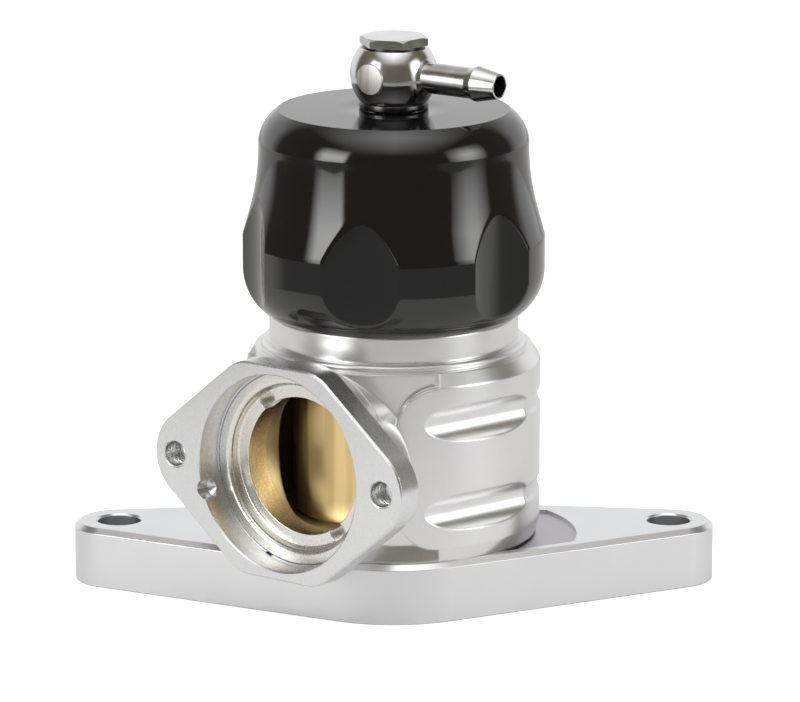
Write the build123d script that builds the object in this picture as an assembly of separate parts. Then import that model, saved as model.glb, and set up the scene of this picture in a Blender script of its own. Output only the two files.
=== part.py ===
from build123d import *
import os
from math import cos, pi, radians, sin, sqrt

# Piston blow off valve on a kite-shaped two-bolt adapter flange. Millimetres.
# The origin is the valve axis at the underside of the adapter, +Z runs up the valve axis, and the
# adapter is longest along X. A pressure line joins the nipple on top. Charge air enters from below,
# lifts the brass piston off its seat and leaves through the side outlet.

# Adapter flange
BASE_THICKNESS = 12.0
BASE_CHAMFER = 1.0
BOLT_SPACING = 110.4
BOLT_LINE_Y = 5.5
BOLT_HOLE_RADIUS = 4.35
BOLT_HOLE_CHAMFER = 0.35
LOBE_RADIUS = 8.9
BACK_RADIUS = 21.2
NOSE_RADIUS = 24.0
NOSE_REACH = 30.0
INLET_RADIUS = 16.0
POCKET_DEPTH = 0.5
POCKET_END_RADIUS = 29.6
POCKET_END_X = 6.8
POCKET_CENTRE_Y = -4.5
POCKET_FRONT_INSET = 2.9
POCKET_BACK_INSET = 4.7
BODY_LAND_RADIUS = 26.0

# Screws that hold the body on the adapter, from beneath
SCREW_COUNT = 3
SCREW_CIRCLE_RADIUS = 22.0
SCREW_FIRST_ANGLE = 25.0
SCREW_RADIUS = 2.0
SCREW_HOLE_CLEARANCE = 0.2
SCREW_HEAD_RADIUS = 4.0
SCREW_HEAD_DEPTH = 2.3
SCREW_HEAD_SINK = 0.3
SCREW_THREAD_DEPTH = 2.8
SCREW_TIP_GAP = 0.3
SCREW_SOCKET_ACROSS = 2.5
SCREW_SOCKET_DEPTH = 1.5

# Valve body
BODY_RADIUS = 29.1
FOOT_RADIUS = 28.3
FOOT_HEIGHT = 2.9
CHAMFER_START = 35.1
SHOULDER_HEIGHT = 37.7
SHOULDER_RADIUS = 27.5
COLLAR_RADIUS = 26.3
COLLAR_HEIGHT = 1.4
COLLAR_CHAMFER = 0.45
NECK_RADIUS = 24.7
NECK_HEIGHT = 5.2
NECK_THREAD_RADIUS = 24.2
NECK_THREAD_LENGTH = 13.5
CHAMBER_RADIUS = 23.6
CHAMBER_FLOOR = 4.0
CHAMBER_CEILING = 30.5
SEAT_WIDTH = 2.0
SEAT_HEIGHT = 0.5

# Milled relief round the outlet, and the ball-nose grooves in the pads beside it
RELIEF_HALF_ANGLE = 60.0
RELIEF_FOOT_RISE = 3.5
PAD_EDGE_X = 0.4
PAD_CORNER_RADIUS = 8.4
PAD_HEIGHT = 32.4
PAD_CENTRE = 18.9
GROOVE_BALL_RADIUS = 3.7
GROOVE_SPACING = 17.8
GROOVE_AZIMUTH = -51.0
GROOVE_DEPTH = 3.2
GROOVE_TRACK_DEPTH = 0.5

# Side outlet, square to the valve axis
OUTLET_AZIMUTH = -128.0
OUTLET_RISE = 18.35
OUTLET_FACE = 37.0
OUTLET_PLATE = 5.5
OUTLET_SEAT = 26.5
OUTLET_NECK_RADIUS = 20.5
OUTLET_UNDERCUT_GAP = 0.3
FLANGE_RIM = 1.9
FLANGE_CORNER_X = 7.2
FLANGE_CORNER_RADIUS = 8.0
FLANGE_LOBE_RADIUS = 9.35
FLANGE_TIP_MARGIN = 5.05
FLANGE_EDGE = 0.3
TAP_SPACING = 51.6
TAP_RADIUS = 2.15
COUNTERBORE_STEP = 0.25
COUNTERBORE_EDGE = 0.25
LOCATOR_RADIUS = 1.95
LOCATOR_OFFSET = 0.35
LOCATOR_ANGLE = 198.3
LOCATOR_DEPTH = 3.0

# Ring nut that clamps the outlet flange
RING_FACE = 31.3
RING_HEAD_RADIUS = 19.2
RING_HEAD_CLEARANCE = 0.1
RING_HEAD_THICKNESS = 0.8
RING_THREAD_RADIUS = 16.0
RING_SHANK_RADIUS = 17.5
RING_SHANK_GAP = 0.1
RING_WEB_CLEARANCE = 0.15
RING_INNER_END = 23.2
RING_BORE_RADIUS = 13.7
RING_LEDGE = 28.9
RING_LEDGE_RADIUS = 16.45
RING_FLOOR_FILLET = 0.6
RING_MOUTH_ROUND = 1.1
NOTCH_RADIUS = 1.9
NOTCH_OFFSET = 1.15
NOTCH_ANGLE = 126.0
NOTCH_DEPTH = 2.2
OUTLET_PORT_RADIUS = 14.2

# Piston and its two seals
PISTON_RADIUS = 20.0
GUIDE_CLEARANCE = 0.05
PISTON_HEIGHT = 40.0
PISTON_FLOOR = 3.0
PISTON_BORE_RADIUS = 17.0
PISTON_EDGE = 0.8
PISTON_SEAL_DROPS = (8.5, 4.0)
PISTON_SEAL_SECTION = 1.5
PISTON_SEAL_CLEARANCE = 0.04

# Spring and its seats
SPRING_RADIUS = 12.5
SPRING_WIRE = 2.2
SPRING_TURNS = 6.5
SPRING_SEAT_THICKNESS = 1.2
SPRING_SEAT_CLEARANCE = 0.15
SPRING_SEAT_BORE = 8.0
SPRING_SEAT_LIP = 1.6
SPRING_SEAT_LIP_WALL = 1.5
UPPER_SEAT_RADIUS = 15.5
UPPER_SEAT_RECESS = 0.8

# Cap
CAP_RADIUS = 29.9
CAP_FOOT_RADIUS = 25.75
CAP_FOOT_RISE = 9.2
CAP_BAND = 6.5
CAP_FLARE = 5.0
CAP_TOP_RADIUS = 26.7
CAP_SWEEP = 13.0
CAP_HEIGHT = 41.0
CAP_TOP_FILLET = 4.3
CAP_THREAD_CLEARANCE = 0.1
CAP_NECK_GAP = 0.5
CAP_CAVITY_RADIUS = 22.3
CAP_ROOF = 6.5
SCALLOP_COUNT = 6
SCALLOP_FIRST_AZIMUTH = -103.0
SCALLOP_FLOOR_RADIUS = 27.95
SCALLOP_RADIUS = 29.0

# O-rings
SEAL_SECTION = 1.5
SEAL_SLACK = 0.02
BASE_SEAL_RADIUS = 18.2
CAP_SEAL_HEIGHT = 10.9

# Banjo fitting
TUBE_AZIMUTH = -34.5
PLUG_AZIMUTH = TUBE_AZIMUTH - 90.0
BALL_RADIUS = 8.6
BALL_HEIGHT = 10.8
GALLERY_RADIUS = 5.0
GALLERY_HEIGHT = 6.2
BANJO_BOLT_RADIUS = 3.95
BANJO_BOLT_CLEARANCE = 0.05
BANJO_BOLT_TIP = 4.9
LOWER_WASHER_THICKNESS = 1.4
LOWER_WASHER_RADIUS = 6.8
UPPER_WASHER_THICKNESS = 0.4
UPPER_WASHER_RADIUS = 6.2
HEX_ACROSS = 12.0
HEX_HEIGHT = 1.7
HEX_CORNER_AZIMUTH = -73.5
HEX_CHAMFER = 0.7
BOLT_PASSAGE_RADIUS = 1.6
BOLT_CROSS_RADIUS = 1.2
TUBE_RADIUS = 3.05
TUBE_BORE_RADIUS = 2.1
TUBE_SOCKET = 6.0
TUBE_REACH = 25.0
BARB_LENGTH = 6.6
BARB_RAMP = 1.6
BARB_RADIUS = 3.5
BARB_TIP_RADIUS = 2.45
BRAZE_WIDTH = 0.7
PLUG_REACH = 8.5
SOCKET_GAP = 0.02

# Heights up the valve axis, from the underside of the adapter
BODY_Z = BASE_THICKNESS
SHOULDER_Z = BODY_Z + SHOULDER_HEIGHT
NECK_Z = SHOULDER_Z + COLLAR_HEIGHT
CAP_Z = NECK_Z + NECK_HEIGHT
NECK_TOP_Z = CAP_Z + NECK_THREAD_LENGTH
FLOOR_Z = BODY_Z + CHAMBER_FLOOR
PISTON_Z = FLOOR_Z + SEAT_HEIGHT
CAP_TOP_Z = CAP_Z + CAP_HEIGHT
CEILING_Z = CAP_TOP_Z - CAP_ROOF
LOWER_SEAT_Z = PISTON_Z + PISTON_FLOOR
UPPER_SEAT_Z = CEILING_Z + UPPER_SEAT_RECESS - SPRING_SEAT_THICKNESS
BALL_Z = CAP_TOP_Z + LOWER_WASHER_THICKNESS
BALL_CENTRE_Z = BALL_Z + BALL_HEIGHT / 2
UPPER_WASHER_Z = BALL_Z + BALL_HEIGHT
HEX_Z = UPPER_WASHER_Z + UPPER_WASHER_THICKNESS
CUT_MARGIN = 5.0

# Radii that follow from a fit
GUIDE_RADIUS = PISTON_RADIUS + GUIDE_CLEARANCE
CAP_THREAD_RADIUS = NECK_THREAD_RADIUS + CAP_THREAD_CLEARANCE
HEAD_SEAT_RADIUS = RING_HEAD_RADIUS + RING_HEAD_CLEARANCE
COUNTERBORE_RADIUS = HEAD_SEAT_RADIUS + COUNTERBORE_STEP
OUTLET_SEAL_RADIUS = RING_THREAD_RADIUS + 2 * SEAL_SLACK + SEAL_SECTION / 2
BANJO_BORE_RADIUS = BANJO_BOLT_RADIUS + BANJO_BOLT_CLEARANCE


def turned(*edges):
    """Solid of revolution about the local Z axis from a closed chain of (radius, height) edges."""
    return revolve(Plane.XZ * make_face(edges), Axis.Z)


def turned_corners(*corners):
    """Solid of revolution from straight-sided (radius, height) corners."""
    return turned(*Polyline(*corners, close=True).edges())


def tube(outer, inner, low, high):
    return turned_corners((inner, low), (outer, low), (outer, high), (inner, high))


def rod(radius, low, high):
    return extrude(Plane.XY.offset(low) * Circle(radius), amount=high - low)


def o_ring(radius, height, section):
    return Pos(0, 0, height) * Torus(radius, section / 2)


def hull(*circles):
    return make_hull([edge for circle in circles for edge in circle.edges()])


def side_plane(azimuth, height):
    """Plane on the valve axis that faces out along an azimuth, with its local Y upright."""
    angle = radians(azimuth)
    facing = (cos(angle), sin(angle), 0)
    sideways = (-sin(angle), cos(angle), 0)
    return Plane(origin=(0, 0, height), x_dir=sideways, z_dir=facing)


def polar_points(count, radius, first_angle):
    angles = [radians(first_angle + 360 * i / count) for i in range(count)]
    return [(radius * cos(a), radius * sin(a)) for a in angles]


OUTLET = side_plane(OUTLET_AZIMUTH, BODY_Z + OUTLET_RISE)
TUBE = side_plane(TUBE_AZIMUTH, BALL_CENTRE_Z)
PLUG = side_plane(PLUG_AZIMUTH, BALL_CENTRE_Z)
SCREW_POINTS = polar_points(SCREW_COUNT, SCREW_CIRCLE_RADIUS, SCREW_FIRST_ANGLE)


# Adapter flange, its seal and its screws
def base_outline(inset=0.0):
    """Kite outline, the hull of four circles, drawn in by an inset."""
    half = BOLT_SPACING / 2
    return hull(
        Circle(BACK_RADIUS - inset),
        Pos(0, NOSE_RADIUS - NOSE_REACH) * Circle(NOSE_RADIUS - inset),
        Pos(-half, BOLT_LINE_Y) * Circle(LOBE_RADIUS - inset),
        Pos(half, BOLT_LINE_Y) * Circle(LOBE_RADIUS - inset),
    )


def pocket_outline():
    """Obround of the pocket, kept inside the adapter by one inset in front and another behind."""
    reach = 2 * (POCKET_END_X + POCKET_END_RADIUS)
    obround = Pos(0, POCKET_CENTRE_Y) * SlotOverall(reach, 2 * POCKET_END_RADIUS)
    front = Pos(0, -BOLT_SPACING) * Rectangle(2 * BOLT_SPACING, 2 * BOLT_SPACING)
    back = Pos(0, BOLT_SPACING) * Rectangle(2 * BOLT_SPACING, 2 * BOLT_SPACING)
    room = (base_outline(POCKET_FRONT_INSET) & front) + (base_outline(POCKET_BACK_INSET) & back)
    return obround & room


def bolt_hole():
    mouth = BOLT_HOLE_RADIUS + BOLT_HOLE_CHAMFER
    countersink = turned_corners(
        (0, BASE_THICKNESS - mouth), (mouth, BASE_THICKNESS),
        (mouth, BASE_THICKNESS + CUT_MARGIN), (0, BASE_THICKNESS + CUT_MARGIN),
    )
    return rod(BOLT_HOLE_RADIUS, -CUT_MARGIN, BASE_THICKNESS + CUT_MARGIN) + countersink


def screw_hole():
    """Countersunk clearance hole, its cone a hair outside the screw head's."""
    head = SCREW_HEAD_RADIUS + SOCKET_GAP
    slope = (SCREW_HEAD_RADIUS - SCREW_RADIUS) / SCREW_HEAD_DEPTH
    hole = SCREW_RADIUS + SCREW_HOLE_CLEARANCE
    mouth = head + SCREW_HEAD_SINK * slope
    top = BASE_THICKNESS + CUT_MARGIN
    return turned_corners((0, 0), (mouth, 0), (hole, (mouth - hole) / slope), (hole, top), (0, top))


def base_flange():
    plate = extrude(base_outline(), amount=BASE_THICKNESS)
    plate = chamfer(plate.faces().sort_by(Axis.Z)[-1].edges(), BASE_CHAMFER)
    pocket = extrude(Plane.XY.offset(BASE_THICKNESS) * pocket_outline(), amount=-POCKET_DEPTH)
    plate -= pocket - rod(BODY_LAND_RADIUS, 0, BASE_THICKNESS)
    plate -= rod(INLET_RADIUS, -CUT_MARGIN, BASE_THICKNESS + CUT_MARGIN)
    for x in (-BOLT_SPACING / 2, BOLT_SPACING / 2):
        plate -= Pos(x, BOLT_LINE_Y) * bolt_hole()
    for x, y in SCREW_POINTS:
        plate -= Pos(x, y) * screw_hole()
    half = SEAL_SECTION / 2 + SEAL_SLACK
    low = BASE_THICKNESS - SEAL_SECTION - SEAL_SLACK
    top = BASE_THICKNESS + CUT_MARGIN
    return plate - tube(BASE_SEAL_RADIUS + half, BASE_SEAL_RADIUS - half, low, top)


def base_seal():
    return o_ring(BASE_SEAL_RADIUS, BASE_THICKNESS - (SEAL_SECTION + SEAL_SLACK) / 2, SEAL_SECTION)


def base_screws():
    """Countersunk screws with hexagon sockets, one solid each."""
    low = SCREW_HEAD_SINK
    top = BODY_Z + SCREW_THREAD_DEPTH
    screw = turned_corners(
        (0, low), (SCREW_HEAD_RADIUS, low), (SCREW_RADIUS, low + SCREW_HEAD_DEPTH),
        (SCREW_RADIUS, top), (0, top),
    )
    socket = RegularPolygon(SCREW_SOCKET_ACROSS / 2, 6, major_radius=False)
    screw -= extrude(socket, amount=low + SCREW_SOCKET_DEPTH)
    return Compound(children=[Pos(x, y) * screw for x, y in SCREW_POINTS])


# Valve body
def body_blank():
    """Turned blank, from the foot up to the threaded neck."""
    return turned_corners(
        (0, BODY_Z), (FOOT_RADIUS, BODY_Z), (BODY_RADIUS, BODY_Z + FOOT_HEIGHT),
        (BODY_RADIUS, BODY_Z + CHAMFER_START), (SHOULDER_RADIUS, SHOULDER_Z), (COLLAR_RADIUS, SHOULDER_Z),
        (COLLAR_RADIUS, NECK_Z - COLLAR_CHAMFER), (COLLAR_RADIUS - COLLAR_CHAMFER, NECK_Z),
        (NECK_RADIUS, NECK_Z), (NECK_RADIUS, CAP_Z), (NECK_THREAD_RADIUS, CAP_Z),
        (NECK_THREAD_RADIUS, NECK_TOP_Z), (0, NECK_TOP_Z),
    )


def relief():
    """What milling takes off round the outlet, up to the edge of a raised pad on each side of it."""
    outer = BODY_RADIUS + CUT_MARGIN
    band = turned_corners(
        (FOOT_RADIUS, BODY_Z), (outer, BODY_Z), (outer, SHOULDER_Z), (SHOULDER_RADIUS, SHOULDER_Z),
        (SHOULDER_RADIUS, BODY_Z + RELIEF_FOOT_RISE),
    )
    side = 2 * outer * sin(radians(RELIEF_HALF_ANGLE))
    ahead = 2 * outer * cos(radians(RELIEF_HALF_ANGLE))
    wedge = Polyline(
        (0, 0), (ahead, -side), (2 * outer, -side), (2 * outer, side), (ahead, side), close=True
    )
    sector = Rot(0, 0, OUTLET_AZIMUTH) * extrude(make_face(wedge.edges()), amount=CAP_Z)
    pad = Pos(PAD_EDGE_X + outer, 0) * RectangleRounded(2 * outer, PAD_HEIGHT, PAD_CORNER_RADIUS)
    pad += Pos(PAD_EDGE_X + PAD_CORNER_RADIUS + outer, 0) * Rectangle(2 * outer, 2 * outer)
    right_pad = extrude(side_plane(-90.0, BODY_Z + PAD_CENTRE) * pad, amount=outer)
    left_pad = mirror(right_pad, about=Plane(origin=(0, 0, 0), z_dir=OUTLET.x_dir))
    return (band & sector) - right_pad - left_pad


def groove_pair(height):
    """Ball-nose cut across each pad and the shallow track that joins them round the back."""
    track = BODY_RADIUS + GROOVE_BALL_RADIUS - GROOVE_TRACK_DEPTH
    chord = BODY_RADIUS + GROOVE_BALL_RADIUS - GROOVE_DEPTH
    mirrored = 2 * OUTLET_AZIMUTH - GROOVE_AZIMUTH
    section = Plane.XZ * Pos(track, height) * Circle(GROOVE_BALL_RADIUS)
    swing = (mirrored - GROOVE_AZIMUTH) % 360
    cut = Rot(0, 0, GROOVE_AZIMUTH) * revolve(section, Axis.Z, revolution_arc=swing)
    for azimuth in (GROOVE_AZIMUTH, mirrored):
        end = side_plane(azimuth - 90.0, height).offset(-BODY_RADIUS)
        cut += extrude(end * Pos(chord, 0) * Circle(GROOVE_BALL_RADIUS), amount=2 * BODY_RADIUS)
    return cut


def outlet_rod(radius, start, end):
    """Cylinder on the outlet axis between two distances from the valve axis."""
    return OUTLET * rod(radius, start, end)


def outlet_boss():
    """Stub that carries the outlet, trimmed level with the foot and the shoulder."""
    return outlet_rod(OUTLET_NECK_RADIUS, 0, OUTLET_SEAT) & rod(2 * BODY_RADIUS, BODY_Z, SHOULDER_Z)


def valve_body():
    body = body_blank() - relief()
    for side in (-1, 1):
        body -= groove_pair(BODY_Z + PAD_CENTRE + side * GROOVE_SPACING / 2)
    body += outlet_boss()
    body -= outlet_rod(OUTLET_NECK_RADIUS, OUTLET_SEAT, 2 * BODY_RADIUS)
    body -= rod(INLET_RADIUS, 0, PISTON_Z)
    body -= tube(CHAMBER_RADIUS, INLET_RADIUS + SEAT_WIDTH, FLOOR_Z, PISTON_Z)
    body -= rod(CHAMBER_RADIUS, PISTON_Z, BODY_Z + CHAMBER_CEILING)
    body -= rod(GUIDE_RADIUS, PISTON_Z, NECK_TOP_Z + CUT_MARGIN)
    body -= outlet_rod(OUTLET_PORT_RADIUS, 0, OUTLET_SEAT) & rod(2 * BODY_RADIUS, PISTON_Z, NECK_TOP_Z)
    body -= outlet_rod(RING_THREAD_RADIUS + SOCKET_GAP, RING_INNER_END, 2 * BODY_RADIUS)
    half = SEAL_SECTION / 2 + SEAL_SLACK
    body -= outlet_rod(OUTLET_SEAL_RADIUS + half, OUTLET_SEAT - SEAL_SECTION, OUTLET_SEAT)
    groove_radius = CAP_THREAD_RADIUS - SEAL_SECTION - 2 * SEAL_SLACK
    middle = CAP_Z + CAP_SEAL_HEIGHT
    body -= tube(NECK_THREAD_RADIUS + CUT_MARGIN, groove_radius, middle - half, middle + half)
    for x, y in SCREW_POINTS:
        hole = rod(SCREW_RADIUS + SOCKET_GAP, 0, BODY_Z + SCREW_THREAD_DEPTH + SCREW_TIP_GAP)
        body -= Pos(x, y) * hole
    return body


# Side outlet
def flange_outline():
    """Two-lobed outline with flats above and below the bore."""
    lobe_x = TAP_SPACING / 2 + FLANGE_TIP_MARGIN - FLANGE_LOBE_RADIUS
    corner_y = COUNTERBORE_RADIUS + FLANGE_RIM - FLANGE_CORNER_RADIUS
    circles = [Pos(side * lobe_x, 0) * Circle(FLANGE_LOBE_RADIUS) for side in (-1, 1)]
    for x in (-FLANGE_CORNER_X, FLANGE_CORNER_X):
        for y in (-corner_y, corner_y):
            circles.append(Pos(x, y) * Circle(FLANGE_CORNER_RADIUS))
    return hull(*circles)


def locator_hole():
    """Blind drilled hole with a drill-point floor that breaks into the counterbore's rim."""
    angle = radians(LOCATOR_ANGLE)
    reach = COUNTERBORE_RADIUS - LOCATOR_OFFSET
    floor = OUTLET_FACE - LOCATOR_DEPTH
    drill = turned_corners(
        (0, floor - LOCATOR_RADIUS / sqrt(3)), (LOCATOR_RADIUS, floor),
        (LOCATOR_RADIUS, OUTLET_FACE + CUT_MARGIN), (0, OUTLET_FACE + CUT_MARGIN),
    )
    return OUTLET * Pos(reach * cos(angle), reach * sin(angle)) * drill


def outlet_flange():
    plate_back = OUTLET_FACE - OUTLET_PLATE
    plate = extrude(OUTLET.offset(plate_back) * flange_outline(), amount=OUTLET_PLATE)
    plate = chamfer(plate.faces().sort_by(Axis(OUTLET.origin, OUTLET.z_dir))[-1].edges(), FLANGE_EDGE)
    flange = plate + outlet_rod(OUTLET_NECK_RADIUS, OUTLET_SEAT, plate_back)
    clamp = RING_FACE - RING_HEAD_THICKNESS
    flange -= outlet_rod(RING_SHANK_RADIUS + RING_WEB_CLEARANCE, OUTLET_SEAT, OUTLET_FACE)
    flange -= outlet_rod(HEAD_SEAT_RADIUS, clamp, OUTLET_FACE)
    flange -= outlet_rod(COUNTERBORE_RADIUS, RING_FACE, OUTLET_FACE)
    mouth = COUNTERBORE_RADIUS + COUNTERBORE_EDGE
    flange -= OUTLET * turned_corners(
        (0, OUTLET_FACE - mouth), (mouth, OUTLET_FACE), (mouth, OUTLET_FACE + CUT_MARGIN),
        (0, OUTLET_FACE + CUT_MARGIN),
    )
    tapped = rod(TAP_RADIUS, OUTLET_SEAT, OUTLET_FACE + CUT_MARGIN)
    for side in (-1, 1):
        flange -= OUTLET * Pos(side * TAP_SPACING / 2, 0) * tapped
    flange -= locator_hole()
    undercut = base_outline(-OUTLET_UNDERCUT_GAP)
    return flange - extrude(undercut, amount=BASE_THICKNESS + OUTLET_UNDERCUT_GAP)


def outlet_seal():
    middle = OUTLET_SEAT - (SEAL_SECTION - SEAL_SLACK) / 2
    return OUTLET * o_ring(OUTLET_SEAL_RADIUS, middle, SEAL_SECTION)


def outlet_ring():
    """Shouldered ring nut with a filleted ledge and two notches for a pin spanner."""
    bore, ledge_radius, ledge = RING_BORE_RADIUS, RING_LEDGE_RADIUS, RING_LEDGE
    fillet_radius, mouth = RING_FLOOR_FILLET, RING_MOUTH_ROUND
    clamp = RING_FACE - RING_HEAD_THICKNESS
    shoulder = OUTLET_SEAT + RING_SHANK_GAP
    outside = Polyline(
        (bore, ledge), (bore, RING_INNER_END), (RING_THREAD_RADIUS, RING_INNER_END),
        (RING_THREAD_RADIUS, shoulder), (RING_SHANK_RADIUS, shoulder), (RING_SHANK_RADIUS, clamp),
        (RING_HEAD_RADIUS, clamp), (RING_HEAD_RADIUS, RING_FACE), (ledge_radius + mouth, RING_FACE),
    )
    inside = [
        TangentArc((ledge_radius + mouth, RING_FACE), (ledge_radius, RING_FACE - mouth), tangent=(-1, 0)),
        Line((ledge_radius, RING_FACE - mouth), (ledge_radius, ledge + fillet_radius)),
        TangentArc(
            (ledge_radius, ledge + fillet_radius), (ledge_radius - fillet_radius, ledge), tangent=(0, -1)
        ),
        Line((ledge_radius - fillet_radius, ledge), (bore, ledge)),
    ]
    ring = turned(*outside.edges(), *[edge for line in inside for edge in line.edges()])
    reach = bore + NOTCH_OFFSET
    for angle in (radians(NOTCH_ANGLE), radians(NOTCH_ANGLE) + pi):
        notch = rod(NOTCH_RADIUS, ledge - NOTCH_DEPTH, RING_FACE + CUT_MARGIN)
        ring -= Pos(reach * cos(angle), reach * sin(angle)) * notch
    return OUTLET * ring


# Piston
def piston_seal_radius():
    return GUIDE_RADIUS - PISTON_SEAL_CLEARANCE - PISTON_SEAL_SECTION / 2


def piston_seal_height(drop):
    return PISTON_Z + PISTON_HEIGHT - drop


def piston():
    """Brass cup with two seal grooves near its rim."""
    top = PISTON_Z + PISTON_HEIGHT
    cup = turned_corners(
        (0, PISTON_Z), (PISTON_RADIUS - PISTON_EDGE, PISTON_Z), (PISTON_RADIUS, PISTON_Z + PISTON_EDGE),
        (PISTON_RADIUS, top), (PISTON_BORE_RADIUS, top), (PISTON_BORE_RADIUS, LOWER_SEAT_Z),
        (0, LOWER_SEAT_Z),
    )
    half = PISTON_SEAL_SECTION / 2 + SEAL_SLACK
    floor = piston_seal_radius() - half
    for drop in PISTON_SEAL_DROPS:
        middle = piston_seal_height(drop)
        cup -= tube(PISTON_RADIUS + CUT_MARGIN, floor, middle - half, middle + half)
    return cup


def piston_seal(index):
    middle = piston_seal_height(PISTON_SEAL_DROPS[index])
    return o_ring(piston_seal_radius(), middle, PISTON_SEAL_SECTION)


# Spring and its seats
def spring_seat(radius):
    """Washer with a lip that centres the spring, standing on its flat side at the origin."""
    lip = SPRING_RADIUS - SPRING_WIRE / 2 - SPRING_SEAT_CLEARANCE
    seat = tube(radius, SPRING_SEAT_BORE, 0, SPRING_SEAT_THICKNESS)
    rim = tube(lip, lip - SPRING_SEAT_LIP_WALL, 0, SPRING_SEAT_THICKNESS + SPRING_SEAT_LIP)
    return seat + rim


def lower_spring_seat():
    return Pos(0, 0, LOWER_SEAT_Z) * spring_seat(PISTON_BORE_RADIUS - SPRING_SEAT_CLEARANCE)


def upper_spring_seat():
    seat = Rot(180, 0, 0) * spring_seat(UPPER_SEAT_RADIUS)
    return Pos(0, 0, UPPER_SEAT_Z + SPRING_SEAT_THICKNESS) * seat


def spring():
    """Round wire spring with its two ends ground flat."""
    low = LOWER_SEAT_Z + SPRING_SEAT_THICKNESS
    height = UPPER_SEAT_Z - low
    helix = Pos(0, 0, low) * Helix(height / SPRING_TURNS, height, SPRING_RADIUS)
    section = Plane(origin=helix @ 0, z_dir=helix % 0) * Circle(SPRING_WIRE / 2)
    wire = sweep(section, path=helix)
    return wire & rod(2 * SPRING_RADIUS, low, UPPER_SEAT_Z)


# Cap
def cap_outer_edges():
    """Outside of the cap from its foot to the top: a rounded foot, a band, a flare and a round."""
    band_low = CAP_Z + CAP_FOOT_RISE
    band_top = band_low + CAP_BAND
    flare_top = band_top + CAP_FLARE
    wall = flare_top + CAP_SWEEP
    share = CAP_SWEEP / (CAP_SWEEP + 2 * CAP_FLARE)
    flare_radius = CAP_TOP_RADIUS + (CAP_RADIUS - CAP_TOP_RADIUS) * share
    top_round = CAP_TOP_Z - CAP_TOP_FILLET
    return [
        TangentArc((CAP_RADIUS, band_low), (CAP_FOOT_RADIUS, CAP_Z), tangent=(0, -1)),
        Line((CAP_RADIUS, band_low), (CAP_RADIUS, band_top)),
        Line((CAP_RADIUS, band_top), (flare_radius, flare_top)),
        TangentArc((CAP_TOP_RADIUS, wall), (flare_radius, flare_top), tangent=(0, -1)),
        Line((CAP_TOP_RADIUS, wall), (CAP_TOP_RADIUS, top_round)),
        TangentArc(
            (CAP_TOP_RADIUS, top_round), (CAP_TOP_RADIUS - CAP_TOP_FILLET, CAP_TOP_Z), tangent=(0, 1)
        ),
    ]


def cap():
    """Cap with a threaded skirt, a spring seat recess under its roof and concave scallops outside."""
    step = NECK_TOP_Z + CAP_NECK_GAP
    recess = UPPER_SEAT_RADIUS + SPRING_SEAT_CLEARANCE
    roof = CEILING_Z + UPPER_SEAT_RECESS
    inside = Polyline(
        (CAP_TOP_RADIUS - CAP_TOP_FILLET, CAP_TOP_Z), (BANJO_BOLT_RADIUS + SOCKET_GAP, CAP_TOP_Z),
        (BANJO_BOLT_RADIUS + SOCKET_GAP, roof), (recess, roof), (recess, CEILING_Z),
        (CAP_CAVITY_RADIUS, CEILING_Z), (CAP_CAVITY_RADIUS, step), (CAP_THREAD_RADIUS, step),
        (CAP_THREAD_RADIUS, CAP_Z), (CAP_FOOT_RADIUS, CAP_Z),
    )
    shell = turned(*[edge for line in cap_outer_edges() for edge in line.edges()], *inside.edges())
    reach = SCALLOP_FLOOR_RADIUS + SCALLOP_RADIUS
    for x, y in polar_points(SCALLOP_COUNT, reach, SCALLOP_FIRST_AZIMUTH):
        shell -= Pos(x, y) * rod(SCALLOP_RADIUS, CAP_Z, CAP_TOP_Z)
    return shell


def cap_seal():
    radius = CAP_THREAD_RADIUS - SEAL_SLACK - SEAL_SECTION / 2
    return o_ring(radius, CAP_Z + CAP_SEAL_HEIGHT, SEAL_SECTION)


# Banjo fitting
def braze_collar():
    """Cone of braze round the root of the hose barb."""
    foot = sqrt(BALL_RADIUS**2 - (TUBE_RADIUS + BRAZE_WIDTH) ** 2)
    rise = sqrt(BALL_RADIUS**2 - TUBE_RADIUS**2) + BRAZE_WIDTH / 2
    return TUBE * turned_corners(
        (0, foot - BRAZE_WIDTH), (TUBE_RADIUS + BRAZE_WIDTH, foot - BRAZE_WIDTH),
        (TUBE_RADIUS + BRAZE_WIDTH, foot), (TUBE_RADIUS + SOCKET_GAP, rise), (0, rise),
    )


def banjo_ring():
    """Flattened ball with a gallery round the bolt and sockets for the nipple and the plug."""
    ball = Pos(0, 0, BALL_CENTRE_Z) * Sphere(BALL_RADIUS) + braze_collar()
    ring = ball & rod(2 * BALL_RADIUS + TUBE_REACH, BALL_Z, UPPER_WASHER_Z)
    ring -= rod(BANJO_BORE_RADIUS, BALL_Z, UPPER_WASHER_Z)
    ring -= rod(GALLERY_RADIUS, BALL_CENTRE_Z - GALLERY_HEIGHT / 2, BALL_CENTRE_Z + GALLERY_HEIGHT / 2)
    for plane in (TUBE, PLUG):
        ring -= plane * rod(TUBE_BORE_RADIUS, 0, TUBE_SOCKET)
        ring -= plane * rod(TUBE_RADIUS + SOCKET_GAP, TUBE_SOCKET, 2 * BALL_RADIUS)
    return ring


def hose_barb():
    start = TUBE_REACH - BARB_LENGTH
    return TUBE * turned_corners(
        (TUBE_BORE_RADIUS, TUBE_SOCKET), (TUBE_RADIUS, TUBE_SOCKET), (TUBE_RADIUS, start),
        (BARB_RADIUS, start + BARB_RAMP), (BARB_TIP_RADIUS, TUBE_REACH), (TUBE_BORE_RADIUS, TUBE_REACH),
    )


def banjo_plug():
    return PLUG * rod(TUBE_RADIUS, TUBE_SOCKET, PLUG_REACH)


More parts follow.
